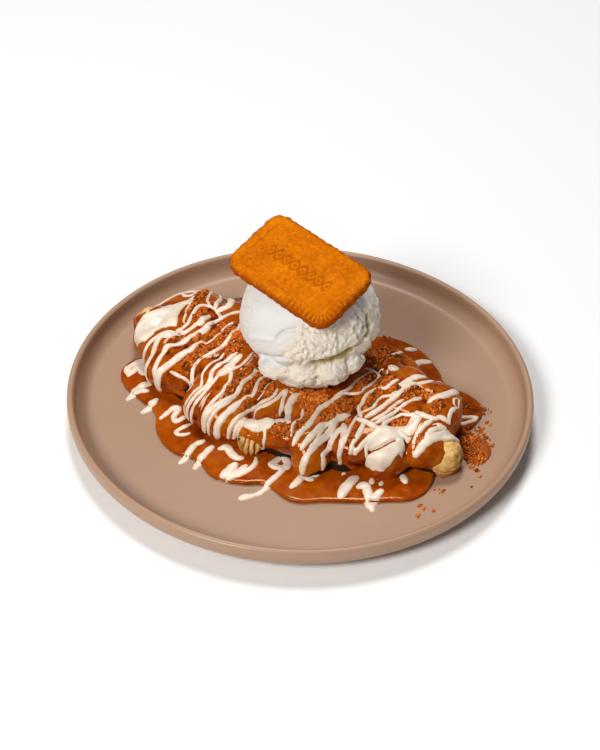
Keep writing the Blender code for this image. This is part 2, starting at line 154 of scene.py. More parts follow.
# Milk sauce trailed over the croffle: width in mm, then points along and across.
DRIZZLE = (
    (1.2, ((-86, 17), (-86, 8), (-86, 0), (-84, -6))),
    (1.9, ((-86, 8), (-84, 18), (-79, 23), (-74, 26), (-72, 32))),
    (1.4, ((-90, 18), (-85, 26), (-80, 31))),
    (1.6, ((-80, 22.6), (-77.8, 18.9), (-75, 18.9), (-73.6, 21.4), (-73.6, 25.9), (-74.7, 29.8))),
    (2.4, ((-72.2, 19.2), (-71.7, 15.3), (-72.5, 12))),
    (1.4, ((-69.4, 32), (-68, 27.6), (-66.4, 23.7), (-64.7, 20), (-61.7, 17.3))),
    (2.0, ((-65, 32), (-62.2, 28.7), (-61.1, 24.8), (-59.7, 20.9), (-58, 17))),
    (3.2, ((-59.4, 32), (-56.1, 28.7), (-54.2, 24.8), (-53.3, 20.9), (-55, 17.5), (-55.6, 15.3))),
    (1.7, ((-58.3, 15.9), (-61.1, 16.4), (-63.3, 15.3), (-64.7, 13.1), (-64.7, 9.8), (-63.9, 5.9),
           (-62.8, 2), (-61.9, -2.4), (-63.3, -6.3), (-64.4, -9.1), (-66.7, -10.2), (-68.9, -12.4),
           (-70.6, -16.3), (-72, -20), (-73, -25))),
    (1.1, ((-71.7, 19.2), (-70.8, 15.9), (-69.4, 11.4), (-68.3, 7), (-66.7, 4.2), (-66.1, 2),
           (-64.7, -1.3), (-63.3, -2.4))),
    (1.7, ((-57.8, 15.9), (-53.9, 13.7), (-50.6, 10.3))),
    (3.4, ((-57.2, 9.3), (-57.5, 4.5), (-56.5, 0.5))),
    (1.9, ((-45.6, 20.3), (-48.3, 16.4), (-49.7, 13.1), (-50.6, 9.8), (-52, 6.4), (-53, 2), (-53.6, -2.4),
           (-55.6, -6.3), (-57.8, -8.6), (-58.9, -11.9), (-60.3, -14.7))),
    (2.4, ((-51.5, 1), (-51.8, -2), (-52.5, -5))),
    (1.1, ((-43.3, 11.4), (-44.4, 8.7), (-45.3, 4.2), (-44.4, 0.9), (-45.3, -2.4), (-45.6, -5.8),
           (-46.7, -9.1), (-49.4, -9.7), (-50, -12.5), (-50.3, -16))),
    (3.4, ((-50.6, -11.9), (-51.1, -16.3), (-52.8, -20.8), (-54.8, -26), (-57, -30), (-58.5, -33))),
    (1.8, ((-40.6, 10.9), (-39.4, 7.6), (-39.7, 3.1), (-38.6, -2.4), (-38.9, -6.9), (-40, -11.3),
           (-41.7, -15.2), (-43.9, -19.7), (-44.4, -23.6), (-43.3, -26.9), (-41.7, -29.7), (-41, -32))),
    (1.1, ((-33.9, 2), (-34.7, -1.3), (-36.1, -4.7), (-38, -6))),
    (1.3, ((-36.1, -9), (-35.6, -13.6), (-36.1, -16.9), (-37.8, -21.3), (-38.1, -25.2), (-37.2, -28),
           (-35.6, -30.8), (-34.4, -33.6), (-35.6, -36.3), (-36.7, -39), (-38, -42))),
    (2.1, ((-30.5, -8), (-31.7, -11.3), (-32.2, -15.8), (-33.3, -19.7), (-33.9, -24.1), (-32.2, -28.6),
           (-31.7, -31.9), (-32.8, -35.8), (-33.9, -39.7), (-35, -42))),
    (2.0, ((-58, 1.6), (-58.3, -2.9), (-59.7, -5.8), (-62.2, -8.5))),
    (3.2, ((-60.5, -6.5), (-62.2, -8.5), (-64.4, -11.3), (-67.9, -14.3))),
    (2.2, ((-67.9, -14.3), (-68.8, -17.2), (-67.5, -24.2), (-67.2, -28))),
    (2.4, ((-56.8, -9), (-57.5, -12), (-59.7, -14.8), (-62.7, -18.3), (-62.3, -23.7), (-61.8, -29.5),
           (-61.5, -32.2), (-59.5, -34))),
    (2.0, ((-55.3, -25.1), (-57.3, -29.5), (-59.3, -32.2), (-57.5, -34.6))),
    (1.5, ((-53, -30.5), (-48, -30.8), (-43, -29.5))),
    (4.2, ((-27.5, -10), (-28.3, -14), (-28, -19), (-28.5, -22.5), (-29.5, -25))),
    (1.8, ((-29.5, -25), (-30, -31), (-30.3, -36), (-31, -41), (-32, -44))),
    (1.4, ((-23.5, -5), (-23.2, -10), (-23.6, -15), (-24.9, -18), (-26, -20.5))),
    (0.9, ((-22, -6), (-21.4, -10), (-21.5, -14), (-22.5, -18))),
    (1.6, ((-26, -20), (-24.3, -23), (-22.7, -27), (-22.7, -30), (-22.2, -34), (-23, -38), (-24, -42),
           (-24.8, -46))),
    (0.7, ((-27, -36), (-27.5, -40), (-27, -45))),
    (0.7, ((-28.5, -37.5), (-28.5, -44))),
    (2.3, ((-15, -9), (-16.5, -14), (-15.8, -18), (-16.7, -22), (-17.2, -25), (-16.5, -29), (-16.5, -32.5),
           (-18.5, -36.5), (-20.5, -40), (-22.5, -44), (-24, -47))),
    (1.5, ((-16.5, -33), (-17.5, -38), (-19.8, -42.5), (-21.5, -47))),
    (1.8, ((-11, -14), (-11.8, -18.5), (-11, -22), (-10, -25.5), (-10, -28), (-12, -30), (-13, -33))),
    (3.0, ((-13, -33), (-14.2, -38), (-15.5, -42.5), (-17, -47))),
    (1.0, ((-5.5, -17), (-6.5, -21), (-6, -25), (-6.8, -28))),
    (2.0, ((-0.5, -21), (0, -25), (-1, -27.5), (-4, -30), (-6.5, -31), (-8.5, -33.5), (-9.4, -37),
           (-10.3, -40.5), (-10.9, -44), (-11.5, -47))),
    (2.0, ((2.6, -20), (2.5, -25), (1.5, -28), (-1, -31.5), (-5, -33.5), (-7, -37), (-8, -40.5),
           (-8.7, -44), (-9, -46))),
    (6.2, ((-7, -38.5), (-3, -41.3), (1, -41.8), (5, -40.4), (8.5, -38.4))),
    (1.5, ((4.5, -41.5), (6.5, -44), (7.5, -46))),
    (1.8, ((-4.5, -41), (-6.5, -44), (-7, -47))),
    (4.0, ((8.5, -37), (11, -36), (13.5, -35))),
    (1.6, ((3.5, -19), (4.5, -22.5), (5, -25), (6.5, -29), (7.8, -33.5))),
    (3.0, ((9.5, -18.5), (8.8, -22), (9.3, -27), (11, -31), (13, -35))),
    (1.0, ((5, -19.5), (8, -20.5))),
    (1.4, ((15.5, -25), (17.5, -29.5), (18, -32), (16.5, -35), (17.5, -39), (19, -42))),
    (2.6, ((26.5, -7.5), (25.5, -13.5), (24, -18.5), (22.5, -22), (22.8, -27), (23, -32), (22, -36.5),
           (21.5, -41), (21.3, -44))),
    (1.5, ((26.5, -8), (28, -4), (28.2, 0), (29, 5.5), (30, 10.5), (30.5, 14))),
    (1.4, ((27.5, 13), (30.5, 14.6), (33, 14.5), (34.5, 13), (34.8, 8), (35, 4), (34, 0), (33.5, -4),
           (32, -5.5), (29, -7), (27, -9))),
    (2.0, ((44, 13.5), (43, 11), (42.5, 8), (42, 5), (39.5, 3), (38, 0), (36.8, -3), (37, -8), (37, -11.5),
           (39, -14.5), (41, -17))),
    (1.3, ((47, 5.5), (46.5, 1.5), (44, -1), (43, -4.5), (43.2, -9), (42, -12), (40, -14.5))),
    (3.0, ((52.6, 25), (50, 21), (48.5, 16.4), (47.6, 11.8), (46.6, 9.8))),
    (2.4, ((56.3, 26), (55.4, 21.8), (53.5, 18.2), (51.3, 15.5), (50.4, 12.7), (49.5, 9), (49, 4.5),
           (48.3, 0), (47.6, -3.6), (46.6, -8.2), (45.4, -11.8), (43.5, -16.5))),
    (1.5, ((53, 2.7), (51.5, -1), (50.8, -5), (50, -9), (48.5, -13.6), (46.7, -17.3))),
    (3.2, ((57.8, 9), (56.3, 4.5))),
    (1.7, ((56.3, 4.5), (54.9, 0.9), (54, -2.7), (52.9, -6.4), (51.5, -11), (50, -15.5), (49, -17.7))),
    (1.6, ((61.7, -1.8), (59.5, -5), (56.3, -6), (54.5, -8.6), (53, -12.3), (52.2, -15.5), (52, -18.2))),
    (2.8, ((41, -19), (45, -19.3), (50, -19.5))),
    (2.4, ((44, -20), (45, -25), (45.5, -29.5), (46, -36))),
    (3.4, ((51, -20), (50, -24.5), (49, -28.5), (48, -35))),
    (3.2, ((35.5, -18.5), (33.5, -21.5), (32, -24.5), (32.5, -28.5), (32, -33), (30.5, -37), (29.5, -42),
           (28.5, -48))),
    (1.4, ((39, -17), (39.5, -20.5), (40, -25), (41.5, -29.5))),
    (3.2, ((36, -24), (38, -28), (40, -31), (41, -36))),
    (0.9, ((33, -19.5), (29.5, -24), (28, -26.5))),
    (2.6, ((36.5, -26), (35.5, -30), (35, -35), (34.5, -40))),
    (2.2, ((40.2, -27), (41, -31), (41.3, -35), (41, -38))),
    (1.6, ((31, -25), (29.7, -30), (29.3, -36))),
    (2.8, ((28.5, -28), (27.5, -34.5), (26.5, -39.5), (25.5, -44))),
    (6.0, ((37, 21.5), (38, 21.5))),
    (1.2, ((36, 18.5), (37, 16))),
    (2.6, ((64, -2), (63.8, -8), (64.2, -13.5))),
    (4.2, ((81.5, 0), (79, -1.5), (76.5, -4.5), (74.5, -8.5), (73, -13), (72, -17), (71, -21))),
    (2.2, ((69.5, -3), (68.5, -5.5), (67.6, -10), (67.6, -13.6), (68.5, -17.3), (70, -20))),
    (3.2, ((75.8, -1.4), (73, -3.6), (71.9, -7.3), (71.6, -11), (71.9, -15.5), (71.3, -21))),
    (2.6, ((75.4, 2.5), (72, 1.8), (69.5, -1.0), (66, -1.8), (61.5, -1.6))),
    (2.2, ((74.5, 12.7), (74, 9), (75, 4.5), (76, 2.7))),
    (3.4, ((69.5, 25.5), (68.5, 21), (66.7, 15.5), (64.5, 12.7), (63.5, 10.5), (63, 8))),
    (0.9, ((72.2, 20), (71.3, 17.3), (73, 14), (75, 14), (73.5, 18.2), (72.6, 20.5))),
    (2.4, ((40, 43), (46, 42), (52, 40))),
    (1.8, ((-33, 33), (-30, 22), (-31, 12))),
    (2.0, ((-25, 38), (-22, 28), (-24, 20))),
    (2.4, ((-20, 43), (-16, 34), (-17, 26))),
    (1.6, ((4, 42), (7, 36), (5, 30))),
    (1.5, ((12, 44), (14, 38), (12, 31))),
    (2.2, ((20, 45), (22, 38), (19, 31))),
    (1.8, ((-42, 38), (-39, 28), (-41, 20))),
    (1.3, ((-49, 36), (-46, 28), (-46, 22))),
    (1.6, ((-9, 44), (-6, 38), (-8, 30))),
    (1.8, ((32, 44), (33, 38), (31, 31))),
    (1.4, ((60, 36), (61, 31), (58, 27))),
)

# Wide puddles of milk sauce, as outlines along and across.
PUDDLES = (
    ((-80, 9), (-82, 4), (-84, 0), (-86.5, -4), (-87, -8), (-86, -12), (-84, -16), (-79, -19),
     (-75, -19.5), (-73.5, -15), (-71.5, -10), (-69.5, -7), (-66, -5.5), (-67.5, -2), (-69.5, 1),
     (-70.5, 5), (-71, 10), (-70, 14), (-71.5, 16), (-74, 13.5), (-77, 11)),
    ((60, -3), (65, -2), (65.5, -8), (66, -14), (65.5, -20), (66, -25), (64, -29), (60, -33), (53, -34),
     (49, -30), (49, -24), (50, -19), (53, -15.5), (57, -12.5), (60.5, -10), (60.5, -6)),
)

# Sauce showing through the puddles as thin slashes: width, then points along and across.
SLASHES = (
    (1.9, ((60.5, -20.5), (58.8, -24), (56.5, -27.5), (52.5, -30.5))),
    (1.9, ((49.5, -21.5), (48.2, -26), (47.2, -33))),
    (1.1, ((72.5, -3.5), (70.3, -6.5), (69.6, -10))),
    (1.1, ((69, -13), (69.8, -20))),
    (0.8, ((60.8, -14.5), (64.5, -15), (66.3, -14))),
    (1.6, ((63.5, -17.6), (66.7, -20), (69, -22))),
    (2.0, ((65, -25), (64, -31))),
    (1.0, ((-71.2, -7.5), (-72, -10), (-73.3, -13.5))),
)

# Milk sauce on the plate and the pool: width in mm, then points to the right and to the back.
STROKES = (
    (2.5, ((-83, 12), (-84, 17), (-80, 22), (-77, 23), (-80, 17), (-82, 13))),
    (3.0, ((-74, 20), (-77, 17), (-76, 14), (-73, 14))),
    (3.0, ((-82, -3), (-79, 1), (-75, 5), (-72, 6))),
    (3.0, ((-81, -1), (-77, 1), (-73, 1))),
    (3.0, ((-74, -12), (-71, -9), (-68, -5))),
    (2.3, ((-65, -18), (-62, -14), (-59, -10), (-57, -11), (-58, -14), (-59, -17), (-58, -20), (-55, -18),
           (-53, -16))),
    (1.8, ((-51, -22), (-54, -24), (-57, -27), (-56, -29), (-53, -29), (-51, -28))),
    (2.6, ((-54, -46), (-51, -42), (-48, -36), (-44, -33))),
    (3.0, ((-47, -49), (-45, -45), (-42, -40), (-40, -37))),
    (3.0, ((-36, -38), (-33, -37), (-31, -41), (-28, -44), (-26, -44))),
    (4.0, ((-34, -56), (-31, -52), (-29, -48.5))),
    (2.6, ((-32, -58), (-27, -53), (-24, -49))),
    (2.2, ((-31, -57), (-24, -53), (-20, -48), (-19.5, -44))),
    (3.0, ((-9, -44), (-12, -48), (-7, -50), (-5, -47), (-7, -43))),
    (2.3, ((-6, -49), (-9, -54), (-13, -59), (-17, -64), (-21, -66), (-24, -67))),
    (3.6, ((-22, -66), (-25, -67.5))),
    (3.0, ((-3, -62), (0, -58), (2, -54))),
    (3.0, ((3, -56), (6, -57))),
    (4.0, ((7, -54), (8, -53))),
    (2.0, ((20, -53), (20.6, -52.6))),
    (4.0, ((19, -67), (21, -62), (24, -57), (26, -55))),
    (3.5, ((27, -61), (30, -60), (31, -64), (32, -69), (33, -73))),
    (3.0, ((33, -71), (35, -66), (37, -63))),
    (3.0, ((33, -58), (33, -56))),
    (2.4, ((37, -59), (37.4, -58))),
    (3.0, ((47, -53), (48, -57))),
    (3.0, ((52, 37), (56, 37))),
    (3.0, ((53, 23), (58, 27), (63, 28))),
    (3.0, ((70, 5), (73, 5))),
    (1.3, ((74, -1), (76, 1), (75, -4), (73, -2))),
    (1.6, ((74, -13), (80, -12), (83, -12), (82, -14), (76, -17), (74, -17))),
    (2.6, ((71, -8), (71, -12))),
)

# Biscuit crumbs on the croffle: width in mm, then points along and across.
CRUMB_TRAILS = (
    (4.0, ((-73, 30), (-71, 25), (-69.5, 18))),
    (2.6, ((-68, 15), (-66, 5))),
    (3.4, ((-61.3, 13), (-60.5, 3))),
    (3.2, ((-61, -7), (-61.5, -11.5))),
    (3.2, ((-52.5, -6), (-52.5, -10))),
    (3.0, ((-47.3, 8), (-47.3, -5))),
    (3.6, ((-42.3, 9), (-42, -9))),
    (5.6, ((-46, -12), (-46.5, -18), (-47.5, -27))),
    (4.0, ((-43, -10), (-44, -15))),
    (7.5, ((-33, 2), (-33, -8))),
    (4.0, ((-36, 5), (-37, 1))),
    (3.4, ((-34, -9), (-34, -13))),
    (5.6, ((-18.5, -6), (-19, -19))),
    (4.4, ((-19.5, -20), (-20, -34))),
    (2.6, ((-13.5, -14), (-13.3, -29))),
    (3.0, ((-8.5, -16), (-8, -25))),
    (3.4, ((-3.5, -20.5), (-3.5, -26.5))),
    (3.6, ((-10.5, -31), (-10, -34.5))),
    (5.0, ((6, -16), (9, -18))),
    (4.0, ((12, -12), (12.5, -23))),
    (11.0, ((17, -14.5), (18, -20))),
    (6.0, ((16, -23), (20, -24))),
    (3.8, ((20, -28), (20, -40))),
    (4.8, ((9, -39.5), (17, -40))),
    (4.0, ((8, -36.5), (13, -38))),
    (5.0, ((8, -41.5), (16, -42))),
    (4.4, ((27, -27), (26.5, -29.5))),
    (10.0, ((31, -14), (31, -19))),
    (3.6, ((29, -24), (27, -27))),
    (11.0, ((28, 38), (28, 22))),
    (3.6, ((32, 11), (31.5, -3))),
    (6.6, ((39, 13), (38.5, 6))),
    (4.6, ((40.5, 1), (40.3, -10))),
    (2.6, ((46.5, 9), (45.5, 5))),
    (3.2, ((42.7, -23), (43, -33))),
    (2.4, ((37, -19.5), (37, -23))),
    (4.6, ((53.5, 14), (52.5, 4))),
    (4.2, ((57, 13), (61, 12))),
    (4.4, ((67.7, 10), (67.7, 1))),
    (5.0, ((58.5, -8.5), (56, -12))),
    (2.2, ((69.5, -12), (69.3, -19))),
    (4.0, ((52, 39), (52, 31))),
    (4.6, ((61, 34), (65, 31))),
    (7.0, ((-30, 30), (-24, 36))),
    (6.0, ((-2, 36), (12, 38))),
)

# Where the crumbs on the croffle are palest, with painted light: along, across and reach in mm.
PAINTED_LIT_CRUMBS = (16, -16, 9)

# Crumbs lying on the plate: how many, then right and back of the middle, and the reach in mm.
LOOSE_CRUMBS = (
    (16, (88, -5.5), 2.8), (5, (87, -3), 1.6), (6, (89, -14), 1.3), (20, (86, -25), 3.0),
    (14, (88, -29), 2.2), (26, (84, -20), 3.4), (16, (78, -5), 3.0), (34, (74, -24), 3.6),
    (12, (80, -45), 2.6), (1, (81, -46), 0.1), (2, (82, -50), 0.4), (3, (62, -59), 1.6),
    (3, (65, -60), 1.2), (2, (64, -62), 0.9), (4, (54, -69), 1.2), (3, (56, -71), 1.0),
    (2, (60, -73), 0.5), (1, (53, -76), 0.1), (1, (78, -57), 0.1), (5, (42, 47), 1.2), (3, (44, 49), 1.0),
)

# Edge of the caramel pool, in mm to the right and to the back.
POOL_OUTLINE = (
    (-86, 18), (-84, 7), (-75, -4), (-68, -12), (-65, -27), (-57, -39), (-46, -44), (-38, -55),
    (-25, -58.5), (-15, -59), (-2, -69), (11, -68.5), (26, -68.5), (40, -67.5), (52, -65.5), (60, -54),
    (60, -40), (72, -24), (81, -16), (85.5, -5), (80, 4), (70, 10.5), (66, 22), (57, 38), (43, 46),
    (28, 45), (8, 44), (-12, 40), (-34, 48), (-56, 44), (-74, 29),
)

# Edge of the heap of crumbs beside the tip, in mm to the right and to the back.
HEAP_OUTLINE = (
    (71, -20), (79, -18.5), (82, -24), (85, -27), (85.5, -35), (86, -40), (81, -43), (77, -41), (74, -33),
    (71, -28),
)

# Lumps of the scoop: centre and half sizes in mm, and how finely each is divided. The first is the ball.
SCOOP_LUMPS = (
    ((3.6, 2, 53), (32.4, 32.4, 32.4), 5),
    ((-9, -18.5, 41.5), (11.5, 8, 6.5), 2),
    ((1.5, -18.5, 40.5), (10, 10, 8.5), 2),
    ((13, -19, 42.5), (10, 10.5, 9), 2),
    ((21, -13, 44), (8, 11.5, 8.5), 2),
    ((28, -2.5, 51.5), (7.5, 9.5, 8), 2),
    ((21, 13, 38), (10, 10, 8), 3),
    ((5, 22, 38), (14, 12, 9), 3),
    ((-14, 14, 38), (12, 12, 9), 3),
)

# Places where the ball is hollowed before the lumps join it: centre, radius and depth in mm.
BALL_DENTS = (
    ((-21.6, -11.5, 38), 8, 6),
    ((-15, -23.5, 44.5), 5.5, 4),
    ((-5, -28, 46), 5.5, 4),
    ((5, -29, 47), 5.5, 4),
    ((14.5, -27, 48), 5.5, 4),
    ((23, -21, 48), 5.5, 4),
    ((31, -10.8, 40), 7, 7),
)

# Clefts in the scoop: width, depth, tint, then points in mm.  A negative depth is a ridge.
SCOOP_CLEFTS = (
    (4.2, 2.8, 1.0, ((6.5, -28.8, 50.6), (10.5, -28.2, 51.3), (13.6, -27.3, 51.8), (16.3, -26.5, 52.6),
                     (19.4, -25.3, 53.2), (22, -23.8, 54.2))),
    (2.2, 2.0, 0.2, ((22, -24.0, 54.6), (26.5, -20.6, 56.6), (30.1, -15.9, 58.4))),
    (2.6, 2.2, 0.75, ((29.8, -11.9, 66.1), (30.4, -13.0, 63.5), (30.9, -13.8, 60.2), (30.1, -15.9, 58.4))),
    (2.0, 1.4, 0.35, ((-10.9, -25.2, 62.9), (-9.2, -25.1, 65.2), (-6.6, -25.3, 67.1),
                      (-2.6, -25.7, 68.7))),
    (2.4, -0.6, 0.0, ((-23.2, -16.0, 55.1), (-19.5, -20.0, 58.5), (-15.9, -22.9, 60.3),
                      (-13.1, -24.5, 61.2))),
    (3.4, 2.6, 0.05, ((-19.5, -19.3, 46.1), (-15.8, -23.6, 49), (-13.0, -25.6, 50.5), (-9.4, -27.6, 51.8),
                      (-5.8, -29.0, 51.9))),
    (1.8, 1.8, 0.3, ((7.5, -30.1, 51.5), (7.6, -29.7, 47.7), (7.3, -28.1, 41.6), (7, -26, 37))),
    (1.6, 1.2, 0.15, ((-0.6, -29.8, 57), (0.8, -30.3, 53.7), (-0.4, -29.7, 48.4))),
    (1.5, 0.9, 0.0, ((17.3, -14.9, 77), (21.9, -14.8, 73.8), (25.6, -15.7, 68.9), (28.6, -16.6, 61.8))),
    (1.5, 0.9, 0.0, ((21.8, -11.8, 75.9), (26.4, -11.7, 71.5), (30.3, -12.5, 64.2))),
    (1.3, -1.0, 0.0, ((22.3, -21.2, 64.2), (22.6, -20.3, 66.6), (24.1, -18.8, 68.2), (26.2, -17.2, 67.7),
                      (26.9, -17.6, 65), (26, -19.6, 62.8))),
)

# Middle of the most torn part of the scoop, in mm.
TORN_MIDDLE = (4, -29, 60)


# Shader maths

class Link:
    """An output socket that adds Math nodes when it is used in a sum."""

    def __init__(self, finish, socket):
        self.finish, self.socket = finish, socket

    def _math(self, operation, first, second):
        return self.finish.node("ShaderNodeMath", {"operation": operation}, {0: first, 1: second})

    def __add__(self, other):
        return self._math("ADD", self, other)

    __radd__ = __add__

    def __sub__(self, other):
        return self._math("SUBTRACT", self, other)

    def __mul__(self, other):
        return self._math("MULTIPLY", self, other)

    __rmul__ = __mul__


class Finish:
    """A material and the nodes that its patterns are made of."""

    def __init__(self, name):
        self.material = bpy.data.materials.new(name)
        self.material.use_nodes = True
        self.tree = self.material.node_tree
        self.shader = self.tree.nodes["Principled BSDF"]
        self.place = self.node("ShaderNodeTexCoord", output="Object")

    def node(self, kind, settings=None, inputs=None, output=0):
        made = self.tree.nodes.new(kind)
        for key, value in (settings or {}).items():
            setattr(made, key, value)
        for key, value in (inputs or {}).items():
            self.join(made.inputs[key], value)
        return Link(self, made.outputs[output])

    def join(self, socket, value):
        if isinstance(value, Link):
            self.tree.links.new(value.socket, socket)
        elif socket.type == "RGBA" and len(value) == 3:
            socket.default_value = (*value, 1)
        else:
            socket.default_value = value

    def shade(self, sockets):
        for key, value in sockets.items():
            self.join(self.shader.inputs[key], value)
        return self.material

    def noise(self, size, detail=3, roughness=0.5):
        """Cloudy noise with features about this size, in metres."""
        inputs = {"Vector": self.place, "Scale": 1 / size, "Detail": detail, "Roughness": roughness}
        return self.node("ShaderNodeTexNoise", None, inputs)

    def cells(self, size):
        """Distance to the nearest of a set of scattered points, about this far apart."""
        return self.node("ShaderNodeTexVoronoi", None, {"Vector": self.place, "Scale": 1 / size}, "Distance")

    def height(self):
        return self.node("ShaderNodeSeparateXYZ", None, {0: self.place}, "Z")

    def attribute(self, name):
        return self.node("ShaderNodeAttribute", {"attribute_name": name}, output="Fac")

    def step(self, value, low, high, start=0.0, end=1.0):
        """Runs smoothly from start to end as value passes from low to high."""
        return self.node(
            "ShaderNodeMapRange",
            {"interpolation_type": "SMOOTHSTEP"},
            {"Value": value, "From Min": low, "From Max": high, "To Min": start, "To Max": end},
        )

    def ramp(self, value, stops):
        made = self.node("ShaderNodeValToRGB", None, {"Fac": value})
        elements = made.socket.node.color_ramp.elements
        while len(elements) < len(stops):
            elements.new(0.5)
        for element, (position, colour) in zip(elements, stops):
            element.position = position
            element.color = (*colour, 1)
        return made

    def mix(self, share, first, second):
        return self.node("ShaderNodeMix", {"data_type": "RGBA"}, {0: share, 6: first, 7: second}, 2)

    def bump(self, height, strength, distance, normal=None):
        inputs = {"Height": height, "Strength": strength, "Distance": distance}
        if normal is not None:
            inputs["Normal"] = normal
        return self.node("ShaderNodeBump", None, inputs)


def shaded(colour, factor):
    return tuple(min(1.0, channel * factor) for channel in colour)


def tinted(colour, factors):
    return tuple(channel * factor for channel, factor in zip(colour, factors))


# Shapes

def clamp(value):
    return max(0.0, min(1.0, value))


def bell(value):
    """1 at 0, falling off smoothly on both sides and almost 0 from 2 on."""
    return math.exp(-(value**2))


def rough(point, size, octaves=3):
    """Signed fractal noise with features about this size in metres."""
    return noise.fractal(point / size, 0.9, 2.1, octaves)


def coordinates(bm):
    return np.array([vert.co[:] for vert in bm.verts], float)


def shift(bm, moves):
    """Moves each vert by its own vector."""
    for vert, move in zip(bm.verts, moves):
        vert.co += move


def keep_values(bm, name, values):
    """Stores one number for each vert, for a material to read."""
    layer = bm.verts.layers.float.new(name)
    for vert, value in zip(bm.verts, values):
        vert[layer] = value


def as_mesh(name, bm):
    """Makes a mesh of a bmesh, and frees the bmesh."""
    mesh = bpy.data.meshes.new(name)
    bm.to_mesh(mesh)
    bm.free()
    return mesh


def temporary_object(data):
    obj = bpy.data.objects.new("work", data)
    bpy.context.scene.collection.objects.link(obj)
    return obj


def evaluated(obj):
    """A new bmesh of the object with its modifiers applied; the object is removed."""
    graph = bpy.context.evaluated_depsgraph_get()
    graph.update()
    bm = bmesh.new()
    bm.from_mesh(bpy.data.meshes.new_from_object(obj.evaluated_get(graph)))
    bpy.data.objects.remove(obj)
    return bm


def fused(bm, voxel, smoothing):
    """One skin round everything in the bmesh, then softened; frees the bmesh and returns a new one."""
    obj = temporary_object(as_mesh("work", bm))
    remesh = obj.modifiers.new("fuse", "REMESH")
    remesh.mode = "VOXEL"
    remesh.voxel_size = voxel
    soften = obj.modifiers.new("soften", "SMOOTH")
    soften.factor = 0.5
    soften.iterations = smoothing
    made = evaluated(obj)
    made.normal_update()
    return made


def finished_piece(name, bm, material, smooth=True, stands_for=None):
    """Makes a named piece from a bmesh, riding on the frame."""
    mesh = as_mesh(name, bm)
    mesh.materials.append(material)
    if smooth:
        mesh.shade_smooth()
    obj = bpy.data.objects.new(name, mesh)
    bpy.context.scene.collection.objects.link(obj)
    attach(obj, "root")
    if stands_for:
        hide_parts(stands_for)
    return obj


def surface_of(*names):
    """Everything in these pieces as one surface to drop things on."""
    bm = bmesh.new()
    for name in names:
        bm.from_mesh(bpy.data.objects[name].data)
    tree = BVHTree.FromBMesh(bm)
    bm.free()
    return tree


def dropped(surface, x, y, start=0.05):
    """Where something falling from a height first meets a surface, or None."""
    return surface.ray_cast(Vector((x, y, start)), DOWN)[0]


def on_croffle(along, across, height=0.0):
    """A point given along and across the croffle, in mm, as a place in metres."""
    return Vector((along * TURN_COS - across * TURN_SIN, along * TURN_SIN + across * TURN_COS, height)) * MM


def croffle_plan(points):
    """Along and across, in mm, of an array of places in metres."""
    x, y = points[:, 0] / MM, points[:, 1] / MM
    return np.stack([x * TURN_COS + y * TURN_SIN, -x * TURN_SIN + y * TURN_COS], 1)


def smooth_path(points, spacing=0.6):
    """Points at an even pace on a smooth curve through the given ones."""
    given = np.array(points, float)
    padded = np.vstack([2 * given[0] - given[1], given, 2 * given[-1] - given[-2]])
    pieces = []
    for a, b, c, d in zip(padded, padded[1:], padded[2:], padded[3:]):
        count = max(2, int(np.linalg.norm(c - b) / spacing) + 1)
        t = np.linspace(0, 1, count, endpoint=False)[:, None]
        square, cube = 2 * a - 5 * b + 4 * c - d, 3 * b - a - 3 * c + d
        pieces.append(0.5 * (2 * b + (c - a) * t + square * t**2 + cube * t**3))
    pieces.append(given[-1:])
    return np.vstack(pieces)


def nearest_step(points, path):
    """How far each point is from the nearest point of a path."""
    return np.min(np.linalg.norm(points[:, None] - path[None], axis=2), axis=1)


def inside(points, outline):
    """Which plan points lie in a closed outline, and how far each is from its edge."""
    corners = np.array(outline, float)
    following = np.roll(corners, -1, axis=0)
    within = np.zeros(len(points), bool)
    distance = np.full(len(points), 1e9)
    for a, b in zip(corners, following):
        crosses = (a[1] > points[:, 1]) != (b[1] > points[:, 1])
        rise = b[1] - a[1] if b[1] != a[1] else 1e-9
        at = a[0] + (points[:, 1] - a[1]) * (b[0] - a[0]) / rise
        within ^= crosses & (points[:, 0] < at)
        side = b - a
        t = np.clip(((points - a) @ side) / (side @ side), 0, 1)
        distance = np.minimum(distance, np.linalg.norm(points - (a + t[:, None] * side), axis=1))
    return within, distance


# Plate

def arc(centre_r, centre_z, radius, start, end, count):
    """Points of a profile on an arc, between two angles in degrees."""
    turns = [math.radians(start + (end - start) * i / (count - 1)) for i in range(count)]
    return [(centre_r + radius * math.cos(a), centre_z + radius * math.sin(a)) for a in turns]


